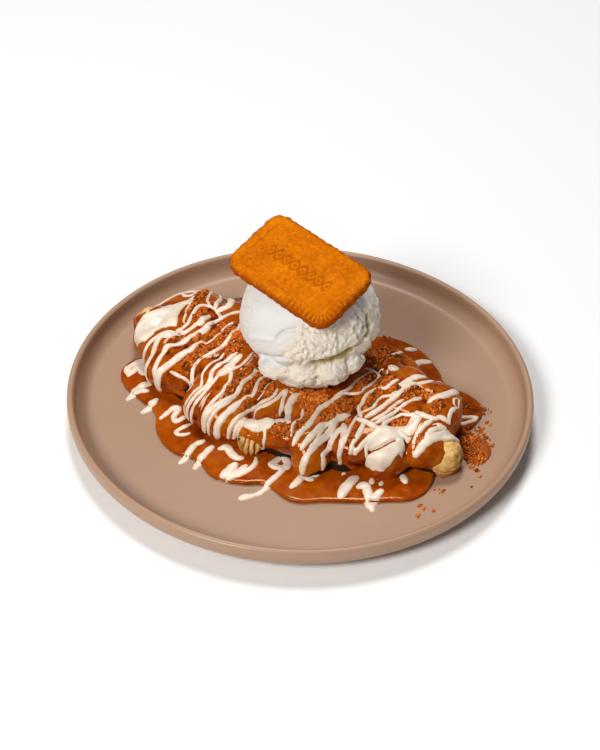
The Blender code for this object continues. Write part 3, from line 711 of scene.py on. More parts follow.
class CROFFLE_OT_plate(bpy.types.Operator):
    """Turn the glazed plate"""

    bl_idname = "croffle.plate"
    bl_label = "Plate"

    def execute(self, context):
        made = context.scene.croffle.plate
        lip = made.lip / 2
        inner, outer = 7.3 * MM, 8 * MM
        wall = made.radius - made.lip - 0.4 * MM
        outer_bottom = made.height - lip - 1.8 * MM - outer
        floor = PLATE_FLOOR * MM
        profile = [(0, floor)] + [(made.radius * share, floor) for share in (0.2, 0.4, 0.6, 0.78)]
        profile += arc(wall - inner, floor + inner, inner, -90, 0, 12)
        profile += arc(made.radius - lip, made.height - lip, lip, 180, 0, 14)
        profile += arc(made.radius - outer, outer_bottom + outer, outer, 0, -80, 12)
        profile += [(r * MM, z * MM) for r, z in FOOT_RING]
        bm = bmesh.new()
        verts = [bm.verts.new((r, 0, z)) for r, z in profile]
        edges = [bm.edges.new(pair) for pair in zip(verts, verts[1:])]
        bmesh.ops.spin(
            bm, geom=verts + edges, cent=(0, 0, 0), axis=(0, 0, 1), dvec=(0, 0, 0),
            angle=2 * math.pi, steps=made.steps, use_merge=True, use_duplicate=False,
        )
        bmesh.ops.remove_doubles(bm, verts=bm.verts, dist=1e-6)
        bmesh.ops.recalc_face_normals(bm, faces=bm.faces[:])
        for vert in bm.verts:
            vert.co.z += 0.12 * MM * noise.noise(vert.co / 0.045) * min(1, vert.co.z / 0.004)
        finished_piece("plate_glazed", bm, glaze_finish(made), stands_for="plate")
        return {"FINISHED"}


def glaze_finish(made):
    finish = Finish("matte_glaze")
    cloud = finish.noise(0.05, 3, 0.5)
    fleck = finish.step(finish.noise(0.0011, 2, 0.6), 0.66, 0.78)
    # painted highlight: the lip's top is made lighter all round, standing in for the sheen on the rim
    painted_lip_highlight = finish.step(finish.height(), 0.0138, 0.0155, 0.0, 0.22)
    colour = finish.mix(cloud, shaded(made.glaze, 0.96), shaded(made.glaze, 1.04))
    colour = finish.mix(fleck * 0.16, colour, shaded(made.glaze, 0.55))
    colour = finish.mix(painted_lip_highlight, colour, shaded(made.glaze, 1.25))
    tooth = finish.noise(0.0016, 3, 0.6)
    return finish.shade({
        "Base Color": colour,
        "Roughness": finish.step(cloud, 0.3, 0.7, 0.36, 0.44),
        "Specular IOR Level": 0.42,
        "Normal": finish.bump(tooth, 0.06, 0.0004, finish.bump(cloud, 0.05, 0.004)),
    })


# Pastry and caramel

def pocket_depth(along, across):
    """How far the iron's teeth press in, from 0 on a ridge to 1 in a pocket."""
    pitch, ridge = 23, 3.2

    def off_ridge(value):
        return pitch / 2 - abs((value / pitch) % 1 - 0.5) * pitch

    share = clamp((min(off_ridge(along), off_ridge(across)) - ridge) / (2 * ridge))
    return share * share * (3 - 2 * share)


def pressed(point, ceiling=25.5):
    """The iron levels the dough and prints its pockets; in mm."""
    if point.z <= 0:
        return point
    levelled = point.z / (1 + (point.z / ceiling) ** 4) ** 0.25
    on_top = clamp((levelled - 0.6 * ceiling) / (0.2 * ceiling))
    levelled -= 1.6 * on_top * pocket_depth(point.x, point.y)
    return Vector((point.x, point.y, levelled))


def pressed_rolls(voxel, smoothing):
    """The rolls of dough as one skin, levelled by the iron, with their foot set back and marked to be painted
    near black as shade; in mm.
    """
    bm = bmesh.new()
    for along, across, height, half_along, half_across, half_up, turn in ROLLS:
        place = (
            Matrix.Translation((along, across, height))
            @ Matrix.Rotation(math.radians(turn), 4, "Z")
            @ Matrix.Diagonal((half_along, half_across, half_up, 1))
        )
        bmesh.ops.create_icosphere(bm, subdivisions=4, radius=1, matrix=place)
    bm = fused(bm, voxel, smoothing)
    foot = bm.verts.layers.float.new("foot")
    edge_along, edge_height = np.array(FRONT_EDGE).T
    for vert in bm.verts:
        vert.co = pressed(vert.co)
        edge = np.interp(vert.co.x, edge_along, edge_height) + 0.5 * noise.noise(vert.co / 4)
        below = clamp((edge - PLATE_FLOOR - vert.co.z) / 0.9 + 0.5)
        # marks the foot below the sauce's edge, which the dough's colour paints near black as shade
        vert[foot] = below * clamp((-vert.co.y - 3) / 4)
        vert.co.y += 0.7 * vert[foot]
    return bm


def dough_shape(voxel, smoothing):
    """The pressed croissant rolls as one skin, in place on the plate."""
    bm = pressed_rolls(voxel, smoothing)
    points = coordinates(bm)[:, :2]
    sink = np.zeros(len(points))
    for width, depth, seam in SEAMS:
        share = nearest_step(points, smooth_path(seam, 1.5)) / (0.5 * width)
        sink = np.maximum(sink, depth * np.exp(-(share**2) * 1.6))
    bm.normal_update()
    shift(bm, [vert.normal * (-depth if vert.co.z > 2 else 0.0) for vert, depth in zip(bm.verts, sink)])
    bm.transform(
        Matrix.Translation((0, 0, PLATE_FLOOR * MM))
        @ Matrix.Rotation(CROFFLE_TURN, 4, "Z")
        @ Matrix.Scale(MM, 4)
    )
    sliced = bmesh.ops.bisect_plane(
        bm, geom=bm.verts[:] + bm.edges[:] + bm.faces[:], dist=1e-6,
        plane_co=(0, 0, CROFFLE_BASE * MM), plane_no=(0, 0, 1), clear_inner=True,
    )
    rim = [item for item in sliced["geom_cut"] if isinstance(item, bmesh.types.BMEdge)]
    bmesh.ops.edgeloop_fill(bm, edges=rim)
    for vert, (along, _) in zip(bm.verts, croffle_plan(coordinates(bm))):
        tip = clamp((along - 68) / 9)
        vert.co.z -= 1.5 * MM * tip * max(0.0, 1 - (vert.co.z / MM - CROFFLE_BASE) / 14)
    bm.normal_update()
    return bm


def bareness(points):
    """1 where the pastry is bare and 0 where sauce covers it."""
    bare = np.zeros(len(points))
    for reach, place in BARE_SPOTS:
        centre = np.array(on_croffle(*place))
        away = np.linalg.norm(points - centre, axis=1) / (reach * MM)
        bare = np.maximum(bare, np.clip((1.12 - away) / 0.16, 0, 1))
    return bare


def flaky(point):
    """Height of the roll's baked layers, in metres, and how deep in a gap between two of them or in a low
    spot it is, which sets the painted shade there.
    """
    along, across = croffle_plan(np.array([point]))[0]
    warp = 0.55 * rough(point, 7 * MM, 2)
    if abs(along) < 40:
        layer, strength = (along + 0.3 * across) / 3.1 + warp, 1.0
    else:
        layer = (point.z / MM + 0.25 * along) / 2.7 + warp
        strength = 0.2 + 0.8 * clamp((12.5 - point.z / MM) / 4)
    gap = strength * bell((layer % 1 - 0.5) / 0.15)
    ragged = rough(point + Vector((3, 1, 2)), 3.0 * MM, 3)
    height = MM * (0.35 * ragged - 1.1 * gap + 0.15 * strength)
    return height, min(1.0, gap + 0.9 * max(0.0, -ragged - 0.25))


def creases(bm):
    """How hollow the surface is at each vert, from 0 on a bulge to 1 in a crease."""
    bm.normal_update()
    ends = np.array([[vert.index for vert in edge.verts] for edge in bm.edges])
    points, normals = coordinates(bm), np.array([vert.normal[:] for vert in bm.verts])
    count = np.bincount(ends.ravel(), minlength=len(points))
    bend = np.zeros(len(points))
    for here, there in (ends.T, ends.T[::-1]):
        way = points[there] - points[here]
        np.add.at(bend, here, (way * normals[here]).sum(axis=1) / np.linalg.norm(way, axis=1))
    bend /= count
    for _ in range(8):
        around = np.zeros(len(points))
        for here, there in (ends.T, ends.T[::-1]):
            np.add.at(around, here, bend[there])
        bend = 0.4 * bend + 0.6 * around / count
    return np.clip(bend / 0.035, 0, 1)


def bare_pastry():
    """The dough, with its baked layers showing where no sauce covers them."""
    bm = dough_shape(0.9, 22)
    bare = bareness(coordinates(bm))
    edges = [edge for edge in bm.edges if min(bare[vert.index] for vert in edge.verts) > 0.1]
    bmesh.ops.subdivide_edges(bm, edges=edges, cuts=1, use_grid_fill=True)
    bm.normal_update()
    bare = bareness(coordinates(bm))
    layers = [flaky(vert.co) if share > 0 else (0.0, 0.0) for vert, share in zip(bm.verts, bare)]
    keep_values(bm, "gap", [gap for _, gap in layers])
    shift(bm, [vert.normal * (share * height) for vert, share, (height, _) in zip(bm.verts, bare, layers)])
    return bm


def sauce_coat(thickness):
    """The skin of sauce over the dough, sunk into it at the bare spots and along the foot that is painted
    near black as shade.
    """
    bm = dough_shape(0.8, 30)
    foot = bm.verts.layers.float["foot"]
    bare = np.maximum(bareness(coordinates(bm)), [vert[foot] for vert in bm.verts])
    offsets = []
    for vert, share in zip(bm.verts, bare):
        wave = 0.25 * MM * rough(vert.co, 11 * MM, 2) + 0.07 * MM * rough(vert.co, 3 * MM, 2)
        height = thickness + wave
        if vert.co.z < (CROFFLE_BASE + 0.4) * MM:
            height = -0.6 * MM
        offsets.append(vert.normal * (height * (1 - share) - 0.7 * MM * share))
    shift(bm, offsets)
    # how hollow each vert is, for the painted shade in the creases
    keep_values(bm, "crease", creases(bm))
    return bm


class CROFFLE_OT_pastry(bpy.types.Operator):
    """Bake the pastry and coat it in caramel sauce"""

    bl_idname = "croffle.pastry"
    bl_label = "Pastry and Coat"

    def execute(self, context):
        made = context.scene.croffle.pastry
        finished_piece("pastry", bare_pastry(), dough_finish(made), stands_for="croffle")
        caramel = caramel_finish("caramel_coat", made.caramel, painted_crease_shade=True)
        finished_piece("caramel_coat", sauce_coat(made.coat), caramel)
        return {"FINISHED"}


def dough_finish(made):
    finish = Finish("baked_dough")
    cloud = finish.noise(0.009, 4, 0.55)
    fine = finish.noise(0.0016, 4, 0.6)
    low = finish.step(finish.height() + cloud * 0.005, 0.0105, 0.0165, 1.0, 0.0)
    baked = finish.ramp(cloud * 0.7 + fine * 0.3, (
        (0.34, tinted(made.dough, (0.6, 0.42, 0.3))),
        (0.45, made.dough),
        (0.55, shaded(made.dough, 1.25)),
        (0.68, (0.84, 0.64, 0.36)),
    ))
    colour = finish.mix(low * 0.8, baked, (0.52, 0.17, 0.016))
    # painted shade: darker deep in the gaps between the baked layers and in low spots of the rough surface
    colour = finish.mix(finish.attribute("gap") * 0.9, colour, (0.16, 0.055, 0.012))
    # painted shade: the foot under the sauce's lower edge is near black, standing in for the shadow under the
    # overhang
    colour = finish.mix(finish.step(finish.attribute("foot"), 0.2, 0.8), colour, (0.022, 0.009, 0.004))
    return finish.shade({
        "Base Color": colour,
        "Roughness": finish.step(fine, 0.3, 0.7, 0.5, 0.68),
        "Specular IOR Level": 0.15,
        "Subsurface Weight": 0.08,
        "Subsurface Radius": (1.0, 0.5, 0.25),
        "Subsurface Scale": 0.002,
        "Normal": finish.bump(fine, 0.35, 0.0008, finish.bump(cloud, 0.3, 0.002)),
    })


def caramel_finish(name, caramel, painted_crease_shade=False):
    """Sauce that is dark where it lies thick; a creased one also gets painted shade, darker in the dough's
    creases.
    """
    finish = Finish(name)
    broad = finish.noise(0.016, 3, 0.5)
    small = finish.noise(0.004, 3, 0.5)
    thin = broad * 0.65 + small * 0.35
    if painted_crease_shade:
        # painted shade: darker where the coat bends into the dough's creases
        thin = (thin - 0.5) * 1.8 + 0.57 - finish.attribute("crease") * 0.4
    return finish.shade({
        "Base Color": finish.ramp(thin, (
            (0.20, tinted(caramel, (0.2, 0.16, 0.2))),
            (0.32, tinted(caramel, (0.5, 0.42, 0.5))),
            (0.42, tinted(caramel, (0.85, 0.8, 0.85))),
            (0.50, tinted(caramel, (1.0, 1.06, 1.0))),
            (0.62, tinted(caramel, (1.15, 1.5, 3.0))),
            (0.78, tinted(caramel, (1.32, 2.2, 7.0))),
        )),
        "Roughness": finish.step(small, 0.35, 0.7, 0.09, 0.16),
        "Specular IOR Level": 0.3,
        "Specular Tint": (1.0, 0.72, 0.42),
        "Normal": finish.bump(small, 0.04, 0.0015),
    })


def pool_slab():
    """The pool's outline as a thin slab with a rounded edge, its middle at height 0."""
    outline = bpy.data.curves.new("pool_outline", "CURVE")
    outline.dimensions = "2D"
    outline.fill_mode = "BOTH"
    outline.resolution_u = 10
    outline.extrude = 0.05 * MM
    outline.bevel_depth = 1.0 * MM
    outline.bevel_resolution = 3
    spline = outline.splines.new("BEZIER")
    spline.bezier_points.add(len(POOL_OUTLINE) - 1)
    for point, (x, y) in zip(spline.bezier_points, POOL_OUTLINE):
        ragged = 1 + 0.006 * noise.noise(Vector((x, y, 0)) / 7)
        point.co = (x * MM * ragged, y * MM * ragged, 0)
        point.handle_left_type = point.handle_right_type = "AUTO"
    spline.use_cyclic_u = True
    bm = evaluated(temporary_object(outline))
    bmesh.ops.remove_doubles(bm, verts=bm.verts, dist=0.01 * MM)
    bmesh.ops.recalc_face_normals(bm, faces=bm.faces[:])
    return fused(bm, 0.85 * MM, 4)


class CROFFLE_OT_pool(bpy.types.Operator):
    """Pour the caramel sauce on the plate"""

    bl_idname = "croffle.pool"
    bl_label = "Caramel Pool"

    def execute(self, context):
        bm = pool_slab()
        bm.transform(Matrix.Translation((0, 0, POOL_MIDDLE * MM)))
        edge = inside(coordinates(bm)[:, :2] / MM, POOL_OUTLINE)[1]
        shape = dough_shape(2.0, 3)
        skin = BVHTree.FromBMesh(shape)
        shape.free()
        for vert, far in zip(bm.verts, edge):
            if vert.co.z > POOL_MIDDLE * MM:
                climb = 0.5 * math.exp(-skin.find_nearest(vert.co)[3] / MM / 1.2)
                crown = 0.25 * min(1.0, far / 5)
                swell = 0.22 * noise.noise(vert.co / 0.024)
                vert.co.z += (climb + crown + swell * min(1.0, far / 4)) * MM
            elif vert.co.z < (PLATE_FLOOR + 0.4) * MM:
                vert.co.z = min(vert.co.z, (PLATE_FLOOR - 0.05) * MM)
        caramel = caramel_finish("caramel_pool", context.scene.croffle.pastry.caramel)
        finished_piece("caramel_pool_sauce", bm, caramel, stands_for="caramel_pool")
        return {"FINISHED"}


# Milk sauce

def laid_on(path, surface, runs_to=None):
    """Lays plan points, in metres, on a surface from above, and follows it down where it drops away.
    A strand that ends on the front shoulder runs on down the side to the height runs_to."""
    laid = []
    for x, y in path:
        hit = dropped(surface, x, y, 0.12)
        if hit is None:
            if runs_to is None:
                continue
            hit = surface.find_nearest(Vector((x, y, 0.011)))[0]
        if laid:
            start = laid[-1].copy()
            steps = int((hit - start).length / MM)
            laid += [surface.find_nearest(start.lerp(hit, i / steps))[0] for i in range(1, steps)]
        laid.append(hit)
    if runs_to is None or len(laid) < 4 or laid[-1].z > 0.020 or laid[-1].y > laid[-4].y:
        return laid
    heading = (laid[-1] - laid[-4]).normalized()
    downhill = Vector((0.15 * heading.x, 0.3 * heading.y, -0.8)) * 0.7 * MM
    while laid[-1].z > runs_to:
        ahead = surface.find_nearest(laid[-1] + downhill)[0]
        if ahead.z > laid[-1].z - 0.1 * MM:
            break
        laid.append(ahead)
    return laid


def strand_samples(strands, to_plan, surface, seed, over_edge=False, widen=1.0):
    """Centres and half widths along every strand, laid on a surface; in metres."""
    samples = []
    for number, (width, points) in enumerate(strands):
        path = np.array([to_plan(*point) for point in smooth_path(points)])
        runs_to = (9.2 + 2.6 * noise.noise(Vector((1.7 * number, seed, 0.5)))) * MM if over_edge else None
        laid = laid_on(path, surface, runs_to)
        for i, centre in enumerate(laid):
            run = 0.6 * min(i, len(laid) - 1 - i)
            taper = min(1.0, 0.62 + 0.38 * run / 2.5)
            waver = 1 + 0.24 * noise.noise(Vector((0.16 * i, 3.7 * number, seed)))
            waver += 0.14 * noise.noise(Vector((0.45 * i, 3.7 * number, seed + 4)))
            samples.append((centre, 0.5 * widen * width * MM * taper * waver))
    return samples


def strand_heights(points, samples):
    """How far milk sauce stands above each point; negative where there is none."""
    tree = KDTree(len(points))
    for i, point in enumerate(points):
        tree.insert(point, i)
    tree.balance()
    heights = np.full(len(points), NO_MILK)
    for centre, half in samples:
        rise = min(0.28 * MM + 0.24 * half, 0.85 * MM)
        for _, index, distance in tree.find_range(centre, half + 0.7 * MM):
            if distance < half:
                value = rise * math.sqrt(1 - (distance / half) ** 3)
            else:
                value = -0.6 * (distance - half)
            if value > heights[index]:
                heights[index] = value
    return heights


def milk_piece(name, bm, heights, thickness, material):
    """Keeps the faces that milk sauce reaches, and gives that skin a closed body."""
    keep_values(bm, "depth", heights / MM)
    bm.verts.index_update()
    doomed = [face for face in bm.faces if max(heights[vert.index] for vert in face.verts) < 0.5 * NO_MILK]
    bmesh.ops.delete(bm, geom=doomed, context="FACES")
    bm.normal_update()
    skin = [(vert, vert.normal.copy()) for vert in bm.verts]
    bmesh.ops.extrude_face_region(bm, geom=bm.faces[:], use_keep_orig=True)
    for vert, normal in skin:
        vert.co -= normal * thickness
    bmesh.ops.recalc_face_normals(bm, faces=bm.faces[:])
    finished_piece(name, bm, material)


def drizzle(made, coat_thickness, material):
    """The milk sauce trailed over the croffle."""
    samples = strand_samples(
        DRIZZLE, lambda a, b: on_croffle(a, b)[:2], surface_of("caramel_coat"), 5, over_edge=True, widen=1.05
    )
    bm = dough_shape(made.detail / MM, 60)
    shift(bm, [vert.normal * coat_thickness for vert in bm.verts])
    points = coordinates(bm)
    heights = strand_heights(points, samples)
    plan = croffle_plan(points)
    upward = np.array([vert.normal.z for vert in bm.verts]) > 0.05
    for outline in PUDDLES:
        within, edge = inside(plan, outline)
        filled = np.where(within, 1.25 * (1 - np.exp(-edge / 1.3)) + 0.1, -0.6 * edge) * MM
        heights = np.maximum(heights, np.where(upward, filled, -MM))
    for width, path in SLASHES:
        near = nearest_step(plan, smooth_path(path))
        heights -= 1.6 * MM * np.clip(1.15 - near / (0.5 * width), 0, 1)
    bm.normal_update()
    for vert, height in zip(bm.verts, heights):
        grain = 1 + 0.12 * noise.noise(vert.co / 0.003) if height > 0 else 1
        vert.co += vert.normal * max(height, NO_MILK) * grain
    milk_piece("milk_drizzle", bm, heights, 0.5 * MM, material)


def strokes(made, material):
    """The milk sauce that fell on the pool and the plate, raised out of a grid laid over both."""
    ground = surface_of("plate_glazed", "caramel_pool_sauce")
    samples = strand_samples(STROKES, lambda x, y: (x * MM, y * MM), ground, 9, widen=1.18)
    width, depth, middle = 0.184, 0.13, -0.015
    bm = bmesh.new()
    bmesh.ops.create_grid(
        bm, x_segments=int(width / made.detail), y_segments=int(depth / made.detail), size=0.5,
        matrix=Matrix.Translation((0, middle, 0)) @ Matrix.Diagonal((width, depth, 1, 1)),
    )
    flat = KDTree(len(samples))
    for i, (centre, _) in enumerate(samples):
        flat.insert((centre.x, centre.y, 0), i)
    flat.balance()
    far = [vert for vert in bm.verts if flat.find(vert.co)[2] > 3.6 * MM]
    bmesh.ops.delete(bm, geom=far, context="VERTS")
    for vert in bm.verts:
        vert.co.z = dropped(ground, vert.co.x, vert.co.y).z
    bmesh.ops.recalc_face_normals(bm, faces=bm.faces[:])
    if sum(face.normal.z for face in bm.faces) < 0:
        bmesh.ops.reverse_faces(bm, faces=bm.faces[:])
    bm.normal_update()
    heights = strand_heights(coordinates(bm), samples)
    for vert, height in zip(bm.verts, heights):
        vert.co.z += max(height, NO_MILK)
    milk_piece("milk_strokes", bm, heights, 0.3 * MM, material)


class CROFFLE_OT_drizzle(bpy.types.Operator):
    """Trail the milk sauce over the croffle, the pool and the plate"""

    bl_idname = "croffle.drizzle"
    bl_label = "Milk Sauce"

    def execute(self, context):
        made = context.scene.croffle.milk
        material = milk_finish(made)
        drizzle(made, context.scene.croffle.pastry.coat, material)
        strokes(made, material)
        return {"FINISHED"}


def milk_finish(made):
    finish = Finish("milk_sauce")
    cloud = finish.noise(0.006, 3, 0.5)
    fine = finish.noise(0.0018, 2, 0.5)
    colour = finish.ramp(cloud, (
        (0.30, shaded(made.milk, 0.86)),
        (0.5, made.milk),
        (0.7, shaded(made.milk, 1.12)),
    ))
    colour = finish.mix(finish.step(finish.attribute("depth"), 0.0, 0.38, 0.75, 0.0), colour, made.thin)
    return finish.shade({
        "Base Color": colour,
        "Roughness": finish.step(cloud, 0.3, 0.7, 0.30, 0.42),
        "Subsurface Weight": 0.12,
        "Subsurface Radius": (1.0, 0.75, 0.5),
        "Subsurface Scale": 0.0012,
        "Normal": finish.bump(fine, 0.05, 0.0008),
    })


# Crumbs

def broken_crumb(bm, place, radius, chance):
    """Adds one crumb with jagged corners to a bmesh."""
    turn = chance.uniform(0, 6.28)
    axis = Vector([chance.uniform(-1, 1) for _ in range(3)]).normalized()
    sizes = [radius * chance.uniform(0.65, 1.3) for _ in range(3)]
    shape = Matrix.Translation(place) @ Matrix.Rotation(turn, 4, axis) @ Matrix.Diagonal((*sizes, 1))
    for vert in bmesh.ops.create_icosphere(bm, subdivisions=1, radius=1, matrix=shape)["verts"]:
        vert.co = place + (vert.co - place) * chance.uniform(0.58, 1.25)


def crumbs(name, spots, material, seed, stands_for=None, core=None):
    """A piece made of small broken crumbs at (place, radius in metres), round a core if there is one."""
    chance = random.Random(seed)
    whole = bmesh.new() if core is None else core
    tones = [0.25] * len(whole.verts)
    for start in range(0, len(spots), CRUMB_BATCH):
        batch = bmesh.new()
        for place, radius in spots[start:start + CRUMB_BATCH]:
            broken_crumb(batch, place, radius, chance)
        mesh = as_mesh("batch", batch)
        whole.from_mesh(mesh)
        bpy.data.meshes.remove(mesh)
    lit_middle = on_croffle(*PAINTED_LIT_CRUMBS[:2], 26)
    corners = 12  # of each crumb, an icosphere undivided
    for place, _ in spots:
        # painted light: crumbs near this spot are made paler, as where the light falls strongest
        painted_light = 0.35 * bell((place - lit_middle).length / (PAINTED_LIT_CRUMBS[2] * MM))
        tones += [min(1.0, chance.betavariate(1.35, 1.9) + painted_light)] * corners
    keep_values(whole, "tone", tones)
    finished_piece(name, whole, material, smooth=False, stands_for=stands_for)


def crumb_radius(chance, made):
    return made.smallest + (made.largest - made.smallest) * chance.random() ** 2.2


def trail_spots(made, chance):
    """Crumbs scattered along the trails on the croffle, mostly clear of the milk sauce."""
    coat = surface_of("caramel_coat")
    milk = surface_of("milk_drizzle")
    spots = []
    for width, points in CRUMB_TRAILS:
        path = smooth_path(points, 0.5)
        length = np.sum(np.linalg.norm(np.diff(path, axis=0), axis=1))
        for _ in range(int(made.density * width * (length + 0.8 * width))):
            along, across = path[chance.randrange(len(path))]
            turn = chance.uniform(0, 6.283)
            away = 0.5 * width * math.sqrt(chance.random()) * chance.choice((1, 1, 1, 1.25))
            place = on_croffle(along + away * math.cos(turn), across + away * math.sin(turn))
            hit = dropped(coat, place.x, place.y, 0.1)
            if hit is None:
                continue
            covered = dropped(milk, place.x, place.y, 0.1)
            if covered is not None and covered.z > hit.z + 0.05 * MM and chance.random() < 0.9:
                continue
            radius = crumb_radius(chance, made)
            lift = 0.45 * radius + chance.choice((0, 0, 0.5, 1.0)) * MM * max(0.0, 1 - 2 * away / width)
            spots.append((hit + Vector((0, 0, lift)), radius))
    return spots


def heap_core():
    """The low mound under the heap's crumbs."""
    low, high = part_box("crumb_heap")
    middle = (low + high) / 2
    place = Matrix.Translation((middle.x, middle.y, (PLATE_FLOOR - 0.2) * MM))
    core = bmesh.new()
    bmesh.ops.create_icosphere(
        core, subdivisions=4, radius=1, matrix=place @ Matrix.Diagonal((6.2 * MM, 9.0 * MM, 2.3 * MM, 1))
    )
    core.normal_update()
    for vert in core.verts:
        vert.co += vert.normal * 0.5 * MM * rough(vert.co, 2 * MM, 2)
    return core


def heap_spots(made, chance, ground):
    """Crumbs piled inside the heap's outline, higher towards its middle."""
    spots = []
    outline = np.array(HEAP_OUTLINE, float)
    corner, extent = outline.min(0), np.ptp(outline, axis=0)
    while len(spots) < HEAP_COUNT:
        point = corner + extent * (chance.random(), chance.random())
        within, edge = inside(point[None], outline)
        if not within[0]:
            continue
        x, y = point * MM
        top = dropped(ground, x, y).z
        pile = max(0.0, min(2.6, edge[0] * 0.9)) * MM
        radius = crumb_radius(chance, made)
        height = top + 0.3 * radius + pile * chance.random() ** 0.6
        spots.append((Vector((x, y, height)), radius))
    return spots


def loose_spots(made, chance, ground):
    """Crumbs lying on the plate, with the ones on their own a little larger."""
    spots = []
    for count, (x, y), reach in LOOSE_CRUMBS:
        for _ in range(count):
            turn, away = chance.uniform(0, 6.283), reach * math.sqrt(chance.random())
            hit = dropped(ground, (x + away * math.cos(turn)) * MM, (y + away * math.sin(turn)) * MM)
            radius = crumb_radius(chance, made) * (1.0 if count > 1 else 1.5)
            spots.append((hit + Vector((0, 0, 0.5 * radius)), radius))
    return spots


class CROFFLE_OT_crumbs(bpy.types.Operator):
    """Scatter biscuit crumbs over the croffle and the plate"""

    bl_idname = "croffle.crumbs"
    bl_label = "Biscuit Crumbs"

    def execute(self, context):
        made = context.scene.croffle.crumb
        material = crumb_finish(made)
        chance = random.Random(made.seed)
        crumbs("crumbs_on_croffle", trail_spots(made, chance), material, made.seed + 1)
        ground = surface_of("plate_glazed", "caramel_pool_sauce", "milk_strokes")
        heap = heap_spots(made, chance, ground)
        crumbs("crumb_pile", heap, material, made.seed + 2, stands_for="crumb_heap", core=heap_core())
        crumbs("crumbs_loose", loose_spots(made, chance, ground), material, made.seed + 3)
        return {"FINISHED"}


def crumb_finish(made):
    finish = Finish("biscuit_crumbs")
    grain = finish.noise(0.0007, 2, 0.6)
    colour = finish.ramp(finish.attribute("tone") * 0.8 + grain * 0.2, (
        (0.12, shaded(made.colour, 0.22)),
        (0.36, shaded(made.colour, 0.8)),
        (0.62, shaded(made.colour, 1.25)),
        (0.93, tinted(made.colour, (1.35, 2.4, 5.5))),
    ))
    return finish.shade({
        "Base Color": colour,
        "Roughness": 0.62,
        "Specular IOR Level": 0.2,
        "Normal": finish.bump(grain, 0.4, 0.0003),
    })


# Ice cream

def torn_share(direction):
    """How torn the scoop's skin is in a direction, from 0 on its smooth side to 1."""
    azimuth = math.degrees(math.atan2(direction.y, direction.x))
    latitude = math.degrees(math.asin(max(-1, min(1, direction.z))))
    edge = -112 + 0.45 * max(0, latitude - 10) + 9 * noise.noise(direction * 3.1)
    edge -= 32 * clamp((-13 - latitude) / 6)
    side = clamp(((azimuth - edge + 180) % 360 - 180) / 4)
    if azimuth > 60 or azimuth < -150:
        side = max(side, 0.35)
    return side * clamp((38 - latitude + 6 * noise.noise(direction * 2.3)) / 9)


def chipped(point, size):
    """Height of a surface broken into tilted chips of about a size, cracked where they meet."""
    spot = point / size
    distances, centres = noise.voronoi(spot)
    tilt = noise.cell_vector(centres[0] * 1.0).normalized()
    gap = min(1.0, (distances[1] - distances[0]) / 0.16)
    return gap * (1.3 * (spot - centres[0]).dot(tilt) + 0.5) - 0.5


def torn_height(place, share):
    """Height of the torn skin, roughest in front, over the gentle swell of the whole scoop."""
    strong = bell((place - Vector(TORN_MIDDLE) * MM).length / (11 * MM))
    swayed = place + 2.2 * MM * noise.noise_vector(place / 0.005)
    chunks, chips = chipped(swayed, 0.0085), chipped(swayed, 0.0031)
    fine = rough(place, 0.0014, 2)
    pits = max(0.0, rough(place + Vector((0.2, 0.7, 0.1)), 0.0027, 2) - 0.22)
    torn = 1.1 * chunks + (0.18 + 0.5 * strong) * chips + (0.16 + 0.4 * strong) * fine
    return share * (torn - 3.2 * strong * pits - 0.3) * MM + 0.3 * MM * rough(place, 0.02, 2)


def scoop_shape(detail):
    """The ball, hollowed where the loose lumps sit, and the lumps, as one skin."""
    bm = bmesh.new()
    middle = Vector(SCOOP_LUMPS[0][0]) * MM
    for centre, sizes, facets in SCOOP_LUMPS:
        place = Matrix.Translation(Vector(centre) * MM) @ Matrix.Diagonal((*(size * MM for size in sizes), 1))
        lump = bmesh.ops.create_icosphere(bm, subdivisions=facets, radius=1, matrix=place)["verts"]
        if centre != SCOOP_LUMPS[0][0]:
            continue
        for vert in lump:
            sink = sum(d * bell((vert.co / MM - Vector(c)).length / r) for c, r, d in BALL_DENTS)
            vert.co -= (vert.co - middle).normalized() * min(sink, 8) * MM
    return fused(bm, detail, 3)


def clefts(points):
    """How deep each point lies in a cleft of the scoop, in metres, and how yellow it is there."""
    middle, radius = np.array(Vector(SCOOP_LUMPS[0][0]) * MM), SCOOP_LUMPS[0][1][0]

    def ways(places):
        return (places - middle) / np.linalg.norm(places - middle, axis=1)[:, None]

    rays = ways(points)
    sink = np.zeros(len(points))
    tint = np.zeros(len(points))
    for width, depth, colour, path in SCOOP_CLEFTS:
        near = nearest_step(rays, ways(smooth_path(path, 0.8) * MM)) * radius / (0.5 * width)
        shape = depth * MM * np.exp(-(near**2))
        sink = np.where(abs(shape) > abs(sink), shape, sink)
        tint = np.maximum(tint, colour * np.exp(-((near * 0.62) ** 2)))
    return sink, tint


def flatten_under_biscuit(bm, biscuit):
    """Presses down what would stand up through the biscuit."""
    place = biscuit_place()
    back = place.inverted()
    for vert in bm.verts:
        local = back @ vert.co
        beyond = max(abs(local.y) - 0.5 * biscuit.width, abs(local.x) - 0.5 * biscuit.length) + 1.2 * MM
        ceiling = -0.5 * biscuit.thickness + 0.3 * MM + 1.4 * max(0.0, beyond)
        if local.z > ceiling:
            local.z = ceiling
            vert.co = place @ local


